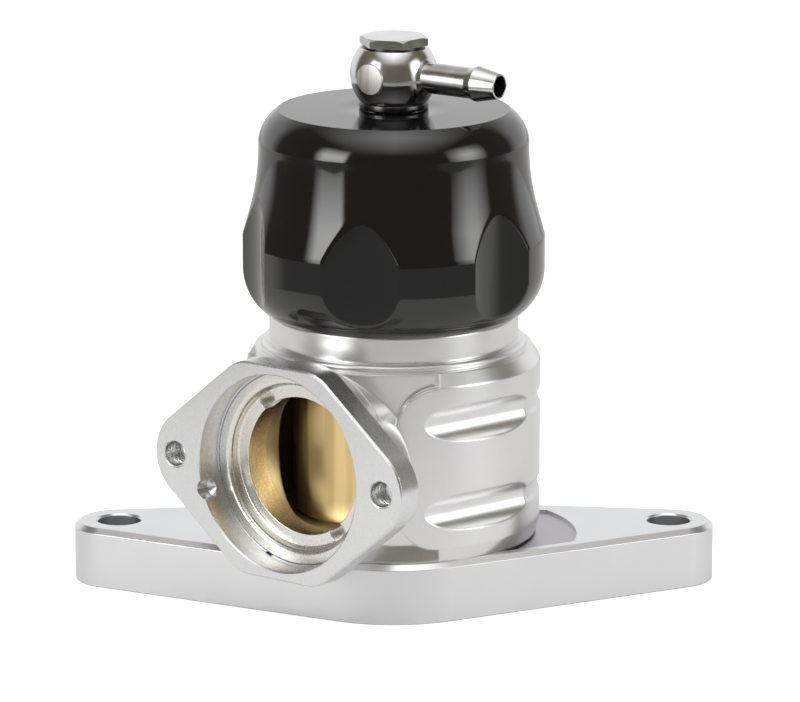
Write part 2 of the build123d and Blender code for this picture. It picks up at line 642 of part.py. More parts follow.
def banjo_bolt():
    """Hollow bolt with a low hexagon head and a cross drilling into the gallery."""
    corner = HEX_ACROSS / sqrt(3)
    top = HEX_Z + HEX_HEIGHT
    hexagon = RegularPolygon(HEX_ACROSS / 2, 6, major_radius=False, rotation=HEX_CORNER_AZIMUTH)
    head = extrude(Plane.XY.offset(HEX_Z) * hexagon, amount=HEX_HEIGHT)
    head &= turned_corners(
        (0, HEX_Z), (corner, HEX_Z), (corner, top - HEX_CHAMFER / sqrt(3)),
        (corner - HEX_CHAMFER, top), (0, top),
    )
    low = CAP_TOP_Z - BANJO_BOLT_TIP
    bolt = head + rod(BANJO_BOLT_RADIUS, low, HEX_Z)
    bolt -= rod(BOLT_PASSAGE_RADIUS, low, BALL_CENTRE_Z)
    across = side_plane(0, BALL_CENTRE_Z).offset(-GALLERY_RADIUS)
    return bolt - extrude(across * Circle(BOLT_CROSS_RADIUS), amount=2 * GALLERY_RADIUS)


def lower_banjo_washer():
    return tube(LOWER_WASHER_RADIUS, BANJO_BORE_RADIUS, CAP_TOP_Z, BALL_Z)


def upper_banjo_washer():
    return tube(UPPER_WASHER_RADIUS, BANJO_BORE_RADIUS, UPPER_WASHER_Z, HEX_Z)


NODES = {
    "base_flange": base_flange(),
    "base_seal": base_seal(),
    "base_screws": base_screws(),
    "valve_body": valve_body(),
    "outlet_flange": outlet_flange(),
    "outlet_seal": outlet_seal(),
    "outlet_ring": outlet_ring(),
    "piston": piston(),
    "piston_seal_lower": piston_seal(0),
    "piston_seal_upper": piston_seal(1),
    "lower_spring_seat": lower_spring_seat(),
    "spring": spring(),
    "upper_spring_seat": upper_spring_seat(),
    "cap": cap(),
    "cap_seal": cap_seal(),
    "lower_banjo_washer": lower_banjo_washer(),
    "banjo_ring": banjo_ring(),
    "hose_barb": hose_barb(),
    "banjo_plug": banjo_plug(),
    "upper_banjo_washer": upper_banjo_washer(),
    "banjo_bolt": banjo_bolt(),
}

os.makedirs("parts", exist_ok=True)
for name, shape in NODES.items():
    export_step(shape, f"parts/{name}.step")
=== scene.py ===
from math import acos, atan2, cos, pi, radians, sin, sqrt, tan

import bmesh
import bpy
import numpy as np
from bpy.props import FloatProperty, FloatVectorProperty, IntProperty, PointerProperty
from mathutils import Matrix, Vector


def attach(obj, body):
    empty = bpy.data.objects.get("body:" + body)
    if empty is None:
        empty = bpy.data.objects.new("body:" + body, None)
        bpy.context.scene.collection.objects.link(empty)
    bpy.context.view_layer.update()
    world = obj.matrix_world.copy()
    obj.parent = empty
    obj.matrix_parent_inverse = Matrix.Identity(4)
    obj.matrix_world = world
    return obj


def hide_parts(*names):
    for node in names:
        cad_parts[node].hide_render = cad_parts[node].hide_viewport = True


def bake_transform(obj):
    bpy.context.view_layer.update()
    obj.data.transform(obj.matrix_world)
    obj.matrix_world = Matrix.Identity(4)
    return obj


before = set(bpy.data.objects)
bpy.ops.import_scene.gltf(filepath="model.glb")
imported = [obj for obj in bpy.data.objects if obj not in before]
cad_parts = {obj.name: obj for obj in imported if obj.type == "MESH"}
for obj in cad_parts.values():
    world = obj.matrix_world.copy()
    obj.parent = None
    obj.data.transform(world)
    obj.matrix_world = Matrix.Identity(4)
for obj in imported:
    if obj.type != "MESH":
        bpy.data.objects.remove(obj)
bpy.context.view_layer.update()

bl_info = {
    "name": "Blow off valve",
    "version": (1, 0, 0),
    "blender": (4, 5, 0),
    "location": "3D View > Sidebar > Valve",
    "description": "Builds the visible surfaces and finishes of a piston blow off valve on its CAD frame",
    "category": "Add Mesh",
}

MM = 0.001

# Heights up the valve axis and directions round it, in millimetres and degrees, as in the CAD source.
OUTLET_AZIMUTH = -128.0
OUTLET_HEIGHT = 30.35
TUBE_AZIMUTH = -34.5
PLUG_AZIMUTH = -124.5
BALL_CENTRE = 104.1


def linear(code):
    """Linear colour from an sRGB hex code."""
    parts = [int(code[i:i + 2], 16) / 255 for i in (1, 3, 5)]
    return [p / 12.92 if p <= 0.04045 else ((p + 0.055) / 1.055) ** 2.4 for p in parts]


def rgba(colour):
    return (*colour[:3], 1.0)


# Sizes and colours that a user would change
def length(name, description, default):
    """A length property, with its default in millimetres."""
    return FloatProperty(name=name, description=description, default=default * MM, unit="LENGTH", precision=5)


def colour(name, description, code):
    return FloatVectorProperty(
        name=name, description=description, default=linear(code), subtype="COLOR", size=3, min=0.0, max=1.0
    )


class AdapterSettings(bpy.types.PropertyGroup):
    silver: colour("Silver", "Satin clear anodised aluminium", "#E2E3E5")
    pocket_silver: colour("Pocket silver", "End milled floor of the pocket", "#B6B4BC")
    chamfer: length("Chamfer", "Width of the chamfer along the adapter's upper edge", 1.0)
    pocket_depth: length("Pocket depth", "Depth of the pocket round the valve body's foot", 0.5)
    screw_count: IntProperty(name="Screws", description="Countersunk screws from beneath", default=3, min=0)


class BodySettings(bpy.types.PropertyGroup):
    silver: colour("Silver", "Turned and clear anodised aluminium", "#E4E4E3")
    # The chamber's warm tint is a painted reflection of the brass piston's light on the bored wall.
    chamber_brass_reflection: colour("Chamber silver", "Bored inside of the body", "#E8DFC6")


class OutletSettings(bpy.types.PropertyGroup):
    silver: colour("Silver", "Milled and clear anodised aluminium", "#E3E4E5")
    thread_pitch: length("Thread pitch", "Pitch of the two tapped holes", 0.8)
    ring_silver: colour("Ring silver", "Fine turned aluminium of the ring nut", "#EAE8E2")


class PistonSettings(bpy.types.PropertyGroup):
    brass: colour("Brass", "Turned brass", "#E2C88F")
    spring_turns: FloatProperty(name="Spring turns", description="Turns of the spring", default=6.5, min=1.0)
    wire: length("Spring wire", "Diameter of the spring's wire", 2.2)


class CapSettings(bpy.types.PropertyGroup):
    black: colour("Black", "Polished black anodising", "#0C0C0D")
    scallops: IntProperty(name="Scallops", description="Concave finger grips round the cap", default=6, min=0)
    scallop_floor: length("Scallop floor", "Radius of the cap at the middle of a scallop", 27.7)
    scallop_radius: length("Scallop radius", "Radius of the cutter that makes a scallop", 26.4)


class FittingSettings(bpy.types.PropertyGroup):
    plate: colour("Plating", "Bright nickel plating", "#D8D8D8")
    hexagon: length("Hexagon", "Distance across the flats of the bolt's head", 12.0)


class StageSettings(bpy.types.PropertyGroup):
    side_light: FloatProperty(
        name="Side light", description="Brightness of the left softbox, on which the right one's depends", default=6.3
    )
    top_light: FloatProperty(
        name="Top light", description="Brightness of the overhead softbox at its middle", default=2.5
    )
    room: colour("Room", "The unlit part of the room in front of the valve", "#736D61")


class ValveSettings(bpy.types.PropertyGroup):
    adapter: PointerProperty(type=AdapterSettings)
    body: PointerProperty(type=BodySettings)
    outlet: PointerProperty(type=OutletSettings)
    piston: PointerProperty(type=PistonSettings)
    cap: PointerProperty(type=CapSettings)
    fitting: PointerProperty(type=FittingSettings)
    stage: PointerProperty(type=StageSettings)


def settings():
    return bpy.context.scene.blow_off_valve


# Patterns per metre, so 1000 makes marks 1 mm wide. Real tool marks, etch grain and pits are typically a
# tenth of a millimetre or less, too fine to show, so these are drawn as coarse as they need to show.
ETCH_CLOUDS = (70, 70, 70)  # 14 mm
ETCH_GRAIN = (5200, 5200, 5200)  # 0.19 mm
ADAPTER_STROKES = (900, 40, 900)  # 1.1 mm wide, 25 mm long
BODY_RINGS = (60, 60, 2600)  # 0.38 mm apart
OUTLET_STROKES = (1100, 1100, 60)  # 0.9 mm wide, 17 mm long
RING_MARKS = (3000, 3000, 3000)  # 0.33 mm
RUBBER_BLOOM = (900, 900, 900)  # 1.1 mm
STEEL_STREAKS = (900, 900, 900)  # 1.1 mm
SPRING_STREAKS = (1500, 1500, 300)  # 0.7 mm wide, 3.3 mm long
PLUG_STREAKS = (3200, 3200, 90)  # 0.3 mm wide, 11 mm long
NICKEL_HAZE = (260, 260, 260)  # 3.8 mm
NICKEL_PITS = (3400, 3400, 3400)  # 0.29 mm
CAP_RINGS = (12, 12, 3600)  # 0.28 mm apart
CAP_SCRATCHES = (160, 160, 2600)  # 6 mm long, 0.38 mm wide
BRASS_RINGS = (20, 20, 4200)  # 0.24 mm apart
TARNISH_BANDS = (240, 240, 12)  # 4 mm wide, 83 mm tall


# Node trees. A range's inputs are its value, the ends it runs between, and the results at those ends. A colour
# mix has its factor at 0, its colours at 6 and 7, and its result at output 2.
MATH, RANGE, MIX, SPLIT = "ShaderNodeMath", "ShaderNodeMapRange", "ShaderNodeMix", "ShaderNodeSeparateXYZ"


def fill(tree, node, inputs):
    """Sets or links a node's inputs by name or number. A node given as a value is linked from its first output."""
    for key, value in inputs.items():
        if isinstance(value, bpy.types.Node):
            value = value.outputs[0]
        if isinstance(value, bpy.types.NodeSocket):
            tree.links.new(value, node.inputs[key])
        else:
            node.inputs[key].default_value = value


def add_node(tree, kind, inputs=(), **options):
    """Adds a node, sets its options, and fills its inputs, given in order or by name or number."""
    node = tree.nodes.new(kind)
    for key, value in options.items():
        setattr(node, key, value)
    fill(tree, node, inputs if isinstance(inputs, dict) else dict(enumerate(inputs)))
    return node


def stretched_noise(tree, where, scale, detail=2.0, roughness=0.5):
    """Noise on object coordinates with its own scale along each axis, in patterns per metre."""
    mapped = add_node(tree, "ShaderNodeMapping", {"Vector": where, "Scale": scale})
    return add_node(
        tree, "ShaderNodeTexNoise", {"Vector": mapped, "Scale": 1.0, "Detail": detail, "Roughness": roughness}
    )


def new_finish(name):
    """An empty node material with its surface shader, its tree and object coordinates."""
    material = bpy.data.materials.new(name)
    material.use_nodes = True
    tree = material.node_tree
    tree.nodes.clear()
    surface = add_node(tree, "ShaderNodeBsdfPrincipled")
    add_node(tree, "ShaderNodeOutputMaterial", {"Surface": surface})
    where = add_node(tree, "ShaderNodeTexCoord").outputs["Object"]
    return material, tree, surface, where


def bump(tree, height, distance, strength=1.0, edge=None):
    """Normal from a height pattern, with edges eased over a radius. Distance and radius are in metres."""
    inputs = {"Height": height, "Distance": distance, "Strength": strength}
    if edge:
        inputs["Normal"] = add_node(tree, "ShaderNodeBevel", {"Radius": edge}, samples=6)
    return add_node(tree, "ShaderNodeBump", inputs)


def clear_anodised(name, colour_value, lines, roughness=0.3, edge=0.00012, inner=None):
    """Satin clear anodising: an even, slightly cloudy metal with a very fine etched grain.

    The lines follow the cutter: rings up the axis on turned pieces, and long strokes on milled ones. The etch
    leaves them barely visible. A mask picks out inner surfaces that are rougher and of another colour."""
    material, tree, surface, where = new_finish(name)
    cloud = stretched_noise(tree, where, ETCH_CLOUDS, 3.0)
    strokes = stretched_noise(tree, where, lines, 3.0, 0.6)
    grain = stretched_noise(tree, where, ETCH_GRAIN, 1.0)
    tone = add_node(tree, RANGE, [cloud, 0.3, 0.7, 0.965, 1.0])
    streak = add_node(tree, RANGE, [strokes, 0.35, 0.65, 0.995, 1.0])
    shade = add_node(tree, MATH, [tone, streak], operation="MULTIPLY")
    line_rough = add_node(tree, RANGE, [strokes, 0.3, 0.7, roughness - 0.005, roughness + 0.01])
    grain_rough = add_node(tree, RANGE, [grain, 0.3, 0.7, -0.015, 0.015])
    rough = add_node(tree, MATH, [line_rough, grain_rough], operation="ADD")
    plain = rgba(colour_value)
    if inner:
        mask, inner_colour, inner_rough = inner(tree, where)
        plain = add_node(tree, MIX, {0: mask, 6: plain, 7: rgba(inner_colour)}, data_type="RGBA").outputs[2]
        extra = add_node(tree, MATH, [mask, inner_rough], operation="MULTIPLY")
        rough = add_node(tree, MATH, [rough, extra], operation="ADD")
    paint = add_node(tree, MIX, {0: 1.0, 6: plain, 7: shade}, data_type="RGBA", blend_type="MULTIPLY")
    low, fine = (add_node(tree, MATH, [pattern, 0.15], operation="MULTIPLY") for pattern in (strokes, grain))
    height = add_node(tree, MATH, [low, fine], operation="ADD")
    fill(tree, surface, {
        "Base Color": paint.outputs[2], "Metallic": 1.0, "Roughness": rough,
        "Normal": bump(tree, height, 0.000001, 0.6, edge),
    })
    return material


def pocket_floor(colour_value):
    """The adapter's pocket, by height and direction: a duller end milled floor."""
    def mask(tree, where):
        height = add_node(tree, SPLIT, [where]).outputs[2]
        facing = add_node(tree, SPLIT, [add_node(tree, "ShaderNodeTexCoord").outputs["Normal"]]).outputs[2]
        low = add_node(tree, RANGE, [height, 0.01155, 0.0117, 1.0, 0.0])
        level = add_node(tree, RANGE, [facing, 0.8, 0.9, 0.0, 1.0])
        return add_node(tree, MATH, [low, level], operation="MULTIPLY"), colour_value, 0.05
    return mask


def chamber_wall(colour_value):
    """The body's bored chamber, by radius: a rougher wall with a warm tint, a painted reflection of the brass
    piston's light.
    """
    def mask(tree, where):
        flat = add_node(tree, "ShaderNodeVectorMath", [where, (1.0, 1.0, 0.0)], operation="MULTIPLY")
        radius = add_node(tree, "ShaderNodeVectorMath", [flat], operation="LENGTH").outputs["Value"]
        return add_node(tree, RANGE, [radius, 0.0239, 0.0241, 1.0, 0.0]), colour_value, 0.25
    return mask


def rubber_finish():
    """Moulded nitrile rubber: dull black with a faint bloom and a soft skin."""
    material, tree, surface, where = new_finish("moulded_nitrile_rubber")
    bloom = stretched_noise(tree, where, RUBBER_BLOOM, 3.0)
    dusty = add_node(tree, RANGE, [bloom, 0.4, 0.8, 0.0, 0.5])
    shades = {0: dusty, 6: rgba(linear("#121212")), 7: rgba(linear("#242424"))}
    fill(tree, surface, {
        "Base Color": add_node(tree, MIX, shades, data_type="RGBA").outputs[2],
        "Roughness": add_node(tree, RANGE, [bloom, 0.0, 1.0, 0.45, 0.62]), "Normal": bump(tree, bloom, 0.00001),
    })
    return material


def steel_finish(name, code, roughness, lines=STEEL_STREAKS):
    """Plain or zinc plated steel: a grey metal with drawn or rolled streaks and a little dullness."""
    material, tree, surface, where = new_finish(name)
    streak = stretched_noise(tree, where, lines, 4.0)
    shades = {0: 1.0, 6: rgba(linear(code)), 7: add_node(tree, RANGE, [streak, 0.3, 0.7, 0.82, 1.0])}
    fill(tree, surface, {
        "Base Color": add_node(tree, MIX, shades, data_type="RGBA", blend_type="MULTIPLY").outputs[2],
        "Metallic": 1.0, "Normal": bump(tree, streak, 0.000008),
        "Roughness": add_node(tree, RANGE, [streak, 0.3, 0.7, roughness - 0.05, roughness + 0.1]),
    })
    return material


def nickel_finish(colour_value):
    """Bright nickel plating over turned steel: mirror like, with faint pits and hazy patches."""
    material, tree, surface, where = new_finish("bright_nickel_plating")
    haze = stretched_noise(tree, where, NICKEL_HAZE, 3.0)
    pits = stretched_noise(tree, where, NICKEL_PITS, 2.0)
    shades = {0: 1.0, 6: rgba(colour_value), 7: add_node(tree, RANGE, [haze, 0.3, 0.7, 0.86, 1.0])}
    fill(tree, surface, {
        "Base Color": add_node(tree, MIX, shades, data_type="RGBA", blend_type="MULTIPLY").outputs[2],
        "Metallic": 1.0, "Normal": bump(tree, pits, 0.000004, 0.5, 0.00008),
        "Roughness": add_node(tree, RANGE, [haze, 0.3, 0.7, 0.1, 0.2]),
    })
    return material


def black_finish(colour_value):
    """Polished black anodising: a deep gloss dye layer with faint turning rings and hairline scratches."""
    material, tree, surface, where = new_finish("polished_black_anodising")
    rings = stretched_noise(tree, where, CAP_RINGS, 3.0, 0.6)
    scratches = stretched_noise(tree, where, CAP_SCRATCHES, 4.0, 0.7)
    hair = add_node(tree, RANGE, [scratches, 0.66, 0.72, 0.0, 1.0])
    hair = add_node(tree, MATH, [hair, 0.12], operation="MULTIPLY")
    shades = {0: hair, 6: rgba(colour_value), 7: rgba(linear("#606060"))}
    fill(tree, surface, {
        "Base Color": add_node(tree, MIX, shades, data_type="RGBA").outputs[2], "IOR": 1.62,
        "Roughness": add_node(tree, RANGE, [rings, 0.3, 0.7, 0.05, 0.1]), "Normal": bump(tree, rings, 0.000002, 0.35),
    })
    return material


def brass_finish(colour_value):
    """Turned brass: satin yellow metal with rings from the tool and soft upright bands of brown tarnish."""
    material, tree, surface, where = new_finish("turned_brass")
    rings = stretched_noise(tree, where, BRASS_RINGS, 3.0, 0.6)
    tarnish = stretched_noise(tree, where, TARNISH_BANDS, 2.0)
    brown = add_node(tree, RANGE, [tarnish, 0.5, 0.75, 0.0, 0.8])
    shades = {0: brown, 6: rgba(colour_value), 7: rgba(linear("#9A7238"))}
    fill(tree, surface, {
        "Base Color": add_node(tree, MIX, shades, data_type="RGBA").outputs[2], "Metallic": 1.0,
        "Roughness": add_node(tree, RANGE, [rings, 0.3, 0.7, 0.3, 0.38]), "Normal": bump(tree, rings, 0.000003, 0.5),
    })
    return material


# Meshes, made in millimetres
def rounded(corners, steps=3):
    """Closed outline from (x, y, radius) corners, with an arc of its own radius at each."""
    path = []
    for i, (x, y, radius) in enumerate(corners):
        here = Vector((x, y))
        if not radius:
            path.append((x, y))
            continue
        back = (Vector(corners[i - 1][:2]) - here).normalized()
        ahead = (Vector(corners[(i + 1) % len(corners)][:2]) - here).normalized()
        half = acos(max(-1.0, min(1.0, back.dot(ahead)))) / 2
        centre = here + (back + ahead).normalized() * radius / sin(half)
        start = (here + back * radius / tan(half) - centre).normalized()
        end = (here + ahead * radius / tan(half) - centre).normalized()
        for k in range(steps + 1):
            spoke = start.slerp(end, k / steps) * radius
            path.append((centre.x + spoke.x, centre.y + spoke.y))
    return path


def axis_frame(azimuth, height):
    """Local X sideways, local Y up and local Z out along an azimuth, at a height on the valve axis."""
    a = radians(azimuth)
    matrix = Matrix(((-sin(a), 0, cos(a)), (cos(a), 0, sin(a)), (0, 1, 0))).to_4x4()
    return Matrix.Translation((0, 0, height)) @ matrix


OUTLET = axis_frame(OUTLET_AZIMUTH, OUTLET_HEIGHT)
TUBE = axis_frame(TUBE_AZIMUTH, BALL_CENTRE)
PLUG = axis_frame(PLUG_AZIMUTH, BALL_CENTRE)


def tidy(bm):
    bmesh.ops.remove_doubles(bm, verts=bm.verts, dist=1e-5)
    bmesh.ops.dissolve_degenerate(bm, edges=bm.edges, dist=1e-5)
    bmesh.ops.recalc_face_normals(bm, faces=bm.faces)


def grid_mesh(rings, place=None, closed_profile=True, caps=False):
    """Mesh in millimetres from rings of points, each ring closed on itself."""
    rings = np.asarray(rings, float)
    rows, columns = rings.shape[:2]
    bm = bmesh.new()
    verts = [[bm.verts.new(p) for p in ring] for ring in rings]
    last = rows if closed_profile else rows - 1
    for i in range(last):
        low, high = verts[i], verts[(i + 1) % rows]
        for j in range(columns):
            k = (j + 1) % columns
            bm.faces.new((low[j], low[k], high[k], high[j]))
    if caps:
        bm.faces.new(verts[0])
        bm.faces.new(verts[-1])
    if place is not None:
        bm.transform(place)
    tidy(bm)
    return to_mesh(bm)


def to_mesh(bm):
    mesh = bpy.data.meshes.new("made")
    bm.to_mesh(mesh)
    bm.free()
    return mesh


def lathe(profile, place=None, columns=240):
    """Solid of revolution from a closed (radius, height) profile."""
    angles = 2 * pi * np.arange(columns) / columns
    rings = [[(r * cos(a), r * sin(a), z) for a in angles] for r, z in profile]
    return grid_mesh(rings, place)


def hull_outline(circles, inset=0.0, step=3.0):
    """Convex outline round (x, y, radius) circles, drawn in by an inset, one point for each normal."""
    turns = np.radians(np.arange(0, 360, 0.25))
    support = np.array([[x * cos(t) + y * sin(t) + r for x, y, r in circles] for t in turns])
    owner = support.argmax(1)
    points = []
    for i, t in enumerate(turns):
        x, y, r = circles[owner[i]]
        corner = owner[i] != owner[i - 1] or owner[i] != owner[(i + 1) % len(turns)]
        if corner or round(i * 0.25 / step, 6) % 1 == 0:
            points.append((x + (r - inset) * cos(t), y + (r - inset) * sin(t)))
    return points


def loft(circles, profile):
    """Plate whose edge follows a closed (inset, height) profile and whose ends are flat."""
    rings = [[(x, y, z) for x, y in hull_outline(circles, inset)] for inset, z in profile]
    return grid_mesh(rings, closed_profile=False, caps=True)


def prism(points, low, high):
    return grid_mesh([[(x, y, z) for x, y in points] for z in (low, high)], closed_profile=False, caps=True)


def rod(radius, low, high, place=None, columns=240):
    return lathe([(0, low), (radius, low), (radius, high), (0, high)], place, columns)


def polar(radius, azimuth):
    return radius * cos(radians(azimuth)), radius * sin(radians(azimuth))


def shifted(mesh, x, y):
    mesh.transform(Matrix.Translation((x, y, 0)))
    return mesh


def joined(*meshes):
    bm = bmesh.new()
    for mesh in meshes:
        bm.from_mesh(mesh)
        bpy.data.meshes.remove(mesh)
    return to_mesh(bm)


def evaluated(obj):
    """The object's mesh with its modifiers taken in, and the object removed."""
    graph = bpy.context.evaluated_depsgraph_get()
    mesh = bpy.data.meshes.new_from_object(obj.evaluated_get(graph), depsgraph=graph)
    old = obj.data
    bpy.data.objects.remove(obj)
    if old.users == 0:
        bpy.data.meshes.remove(old)
    return mesh


def scratch_object(mesh):
    obj = bpy.data.objects.new("scratch", mesh)
    bpy.context.scene.collection.objects.link(obj)
    return obj


def combined(mesh, tool, operation):
    """Exact boolean of two meshes."""
    work, cutter = scratch_object(mesh), scratch_object(tool)
    change = work.modifiers.new("change", "BOOLEAN")
    change.solver = "EXACT"
    change.operation = operation
    change.object = cutter
    result = evaluated(work)
    bpy.data.objects.remove(cutter)
    bpy.data.meshes.remove(tool)
    return result


def cut(mesh, *tools):
    for tool in tools:
        mesh = combined(mesh, tool, "DIFFERENCE")
    return mesh


def place_piece(name, mesh, finish, node, body="valve", sharp=30.0, metres=False, weighted=True):
    """Makes the finished object: real scale, edge shading, its finish, and its place in the frame."""
    if not metres:
        mesh.transform(Matrix.Scale(MM, 4))
    mesh.materials.clear()
    mesh.materials.append(finish)
    mesh.shade_smooth()
    mesh.set_sharp_from_angle(angle=radians(sharp))
    obj = scratch_object(mesh)
    if weighted:
        weigh = obj.modifiers.new("weigh", "WEIGHTED_NORMAL")
        weigh.keep_sharp = True
        mesh = evaluated(obj)
        obj = scratch_object(mesh)
    obj.name = name
    mesh.name = name
    if not len(mesh.polygons):
        raise RuntimeError(f"{name} came out empty")
    if body:
        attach(obj, body)
    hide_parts(node)
    return obj


def paint_node(node, finish):
    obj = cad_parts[node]
    obj.data.materials.clear()
    obj.data.materials.append(finish)


# Geometry Nodes
def geometry_tree(name, inputs):
    """A geometry node group with a geometry output and named inputs, given as (name, kind)."""
    tree = bpy.data.node_groups.new(name, "GeometryNodeTree")
    tree.interface.new_socket("Geometry", in_out="INPUT", socket_type="NodeSocketGeometry")
    for label, kind in inputs:
        tree.interface.new_socket(label, in_out="INPUT", socket_type=f"NodeSocket{kind}")
    tree.interface.new_socket("Geometry", in_out="OUTPUT", socket_type="NodeSocketGeometry")
    return tree, add_node(tree, "NodeGroupInput").outputs


def close_tree(tree, geometry, finish):
    """Ends a tree in Realize Instances and Set Material."""
    real = add_node(tree, "GeometryNodeRealizeInstances", {"Geometry": geometry})
    painted = add_node(tree, "GeometryNodeSetMaterial", {"Geometry": real, "Material": finish})
    add_node(tree, "NodeGroupOutput", [painted])


def grown(mesh, tree, values):
    """The plain mesh that a tree makes from a start mesh and its named values."""
    obj = scratch_object(mesh)
    modifier = obj.modifiers.new("grow", "NODES")
    modifier.node_group = tree
    for item in tree.interface.items_tree:
        if item.in_out == "INPUT" and item.name in values:
            modifier[item.identifier] = values[item.name]
    return evaluated(obj)


def scalloped_turning():
    """Turns a profile of points round the axis and cuts concave scallops into it by one rule."""
    tree, given = geometry_tree("Scalloped turning", [
        ("Columns", "Int"), ("Scallops", "Int"), ("First Azimuth", "Float"), ("Floor Radius", "Float"),
        ("Cutter Radius", "Float"), ("Edge Softness", "Float"), ("Material", "Material"),
    ])
    # A grid gets a column for each direction and a row for each point of the profile.
    size = add_node(tree, "GeometryNodeAttributeDomainSize", [given["Geometry"]]).outputs["Point Count"]
    grid = add_node(tree, "GeometryNodeMeshGrid", {
        "Size X": 1.0, "Size Y": 1.0, "Vertices X": add_node(tree, MATH, [given["Columns"], 1], operation="ADD"),
        "Vertices Y": add_node(tree, MATH, [size, 1], operation="ADD"),
    })
    here = add_node(tree, "GeometryNodeInputPosition")
    place = add_node(tree, SPLIT, [here]).outputs
    turn = add_node(tree, MATH, [place[0], 0.5], operation="ADD")
    turn = add_node(tree, MATH, [turn, 2 * pi], operation="MULTIPLY")
    row = add_node(tree, MATH, [place[1], 0.5], operation="ADD")
    row = add_node(tree, MATH, [row, size], operation="MULTIPLY")
    row = add_node(tree, MATH, [row], operation="ROUND")
    row = add_node(tree, MATH, [row, size], operation="FLOORED_MODULO")
    point = add_node(
        tree, "GeometryNodeSampleIndex", {"Geometry": given["Geometry"], "Value": here, "Index": row},
        data_type="FLOAT_VECTOR", domain="POINT",
    )
    profile = add_node(tree, SPLIT, [point]).outputs
    # The direction is taken from the middle of the nearest scallop.
    pitch = add_node(tree, MATH, [2 * pi, given["Scallops"]], operation="DIVIDE")
    half = add_node(tree, MATH, [pitch, 0.5], operation="MULTIPLY")
    off = add_node(tree, MATH, [turn, given["First Azimuth"]], operation="SUBTRACT")
    off = add_node(tree, MATH, [off, half], operation="ADD")
    off = add_node(tree, MATH, [off, pitch], operation="FLOORED_MODULO")
    off = add_node(tree, MATH, [off, half], operation="SUBTRACT")
    # The near side of the cutter's circle limits the radius, and a direction that misses it gets a metre more.
    centre = add_node(tree, MATH, [given["Floor Radius"], given["Cutter Radius"]], operation="ADD")
    across = add_node(tree, MATH, [off], operation="SINE")
    across = add_node(tree, MATH, [centre, across], operation="MULTIPLY")
    across = add_node(tree, MATH, [across, 2.0], operation="POWER")
    rest = add_node(tree, MATH, [given["Cutter Radius"], 2.0], operation="POWER")
    rest = add_node(tree, MATH, [rest, across], operation="SUBTRACT")
    root = add_node(tree, MATH, [rest, 0.0], operation="MAXIMUM")
    root = add_node(tree, MATH, [root], operation="SQRT")
    near = add_node(tree, MATH, [off], operation="COSINE")
    near = add_node(tree, MATH, [centre, near], operation="MULTIPLY")
    near = add_node(tree, MATH, [near, root], operation="SUBTRACT")
    miss = add_node(tree, MATH, [rest, 0.0], operation="LESS_THAN")
    limit = add_node(tree, MATH, [near, miss], operation="ADD")
    radius = add_node(tree, MATH, [profile[0], limit, given["Edge Softness"]], operation="SMOOTH_MIN")
    # The inside of the cap lies within 0.93 of the floor radius and isn't cut.
    outside = add_node(tree, MATH, [given["Floor Radius"], 0.93], operation="MULTIPLY")
    outside = add_node(tree, MATH, [profile[0], outside], operation="GREATER_THAN")
    change = add_node(tree, MATH, [radius, profile[0]], operation="SUBTRACT")
    change = add_node(tree, MATH, [change, outside], operation="MULTIPLY")
    radius = add_node(tree, MATH, [profile[0], change], operation="ADD")
    x, y = (
        add_node(tree, MATH, [radius, add_node(tree, MATH, [turn], operation=way)], operation="MULTIPLY")
        for way in ("COSINE", "SINE")
    )
    place = add_node(tree, "ShaderNodeCombineXYZ", [x, y, profile[2]])
    moved = add_node(tree, "GeometryNodeSetPosition", {"Geometry": grid, "Position": place})
    merged = add_node(tree, "GeometryNodeMergeByDistance", {"Geometry": moved, "Distance": 1e-7})
    close_tree(tree, merged, given["Material"])
    return tree


def coil_tree():
    """Sweeps a round wire along a spiral and grinds both of its ends flat."""
    tree, given = geometry_tree("Coil spring", [
        ("Turns", "Float"), ("Radius", "Float"), ("Height", "Float"), ("Wire Radius", "Float"), ("Base", "Float"),
        ("Material", "Material"),
    ])
    path = add_node(tree, "GeometryNodeCurveSpiral", {
        "Resolution": 64, "Rotations": given["Turns"], "Height": given["Height"],
        "Start Radius": given["Radius"], "End Radius": given["Radius"],
    })
    wire = add_node(tree, "GeometryNodeCurvePrimitiveCircle", {"Resolution": 20, "Radius": given["Wire Radius"]})
    swept = add_node(tree, "GeometryNodeCurveToMesh", {"Curve": path, "Profile Curve": wire, "Fill Caps": True})
    at = add_node(tree, SPLIT, [add_node(tree, "GeometryNodeInputPosition")]).outputs
    ground = add_node(tree, MATH, [at[2], 0.0], operation="MAXIMUM")
    ground = add_node(tree, MATH, [ground, given["Height"]], operation="MINIMUM")
    raised = add_node(tree, MATH, [ground, given["Base"]], operation="ADD")
    place = add_node(tree, "ShaderNodeCombineXYZ", [at[0], at[1], raised])
    moved = add_node(tree, "GeometryNodeSetPosition", {"Geometry": swept, "Position": place})
    close_tree(tree, moved, given["Material"])
    return tree


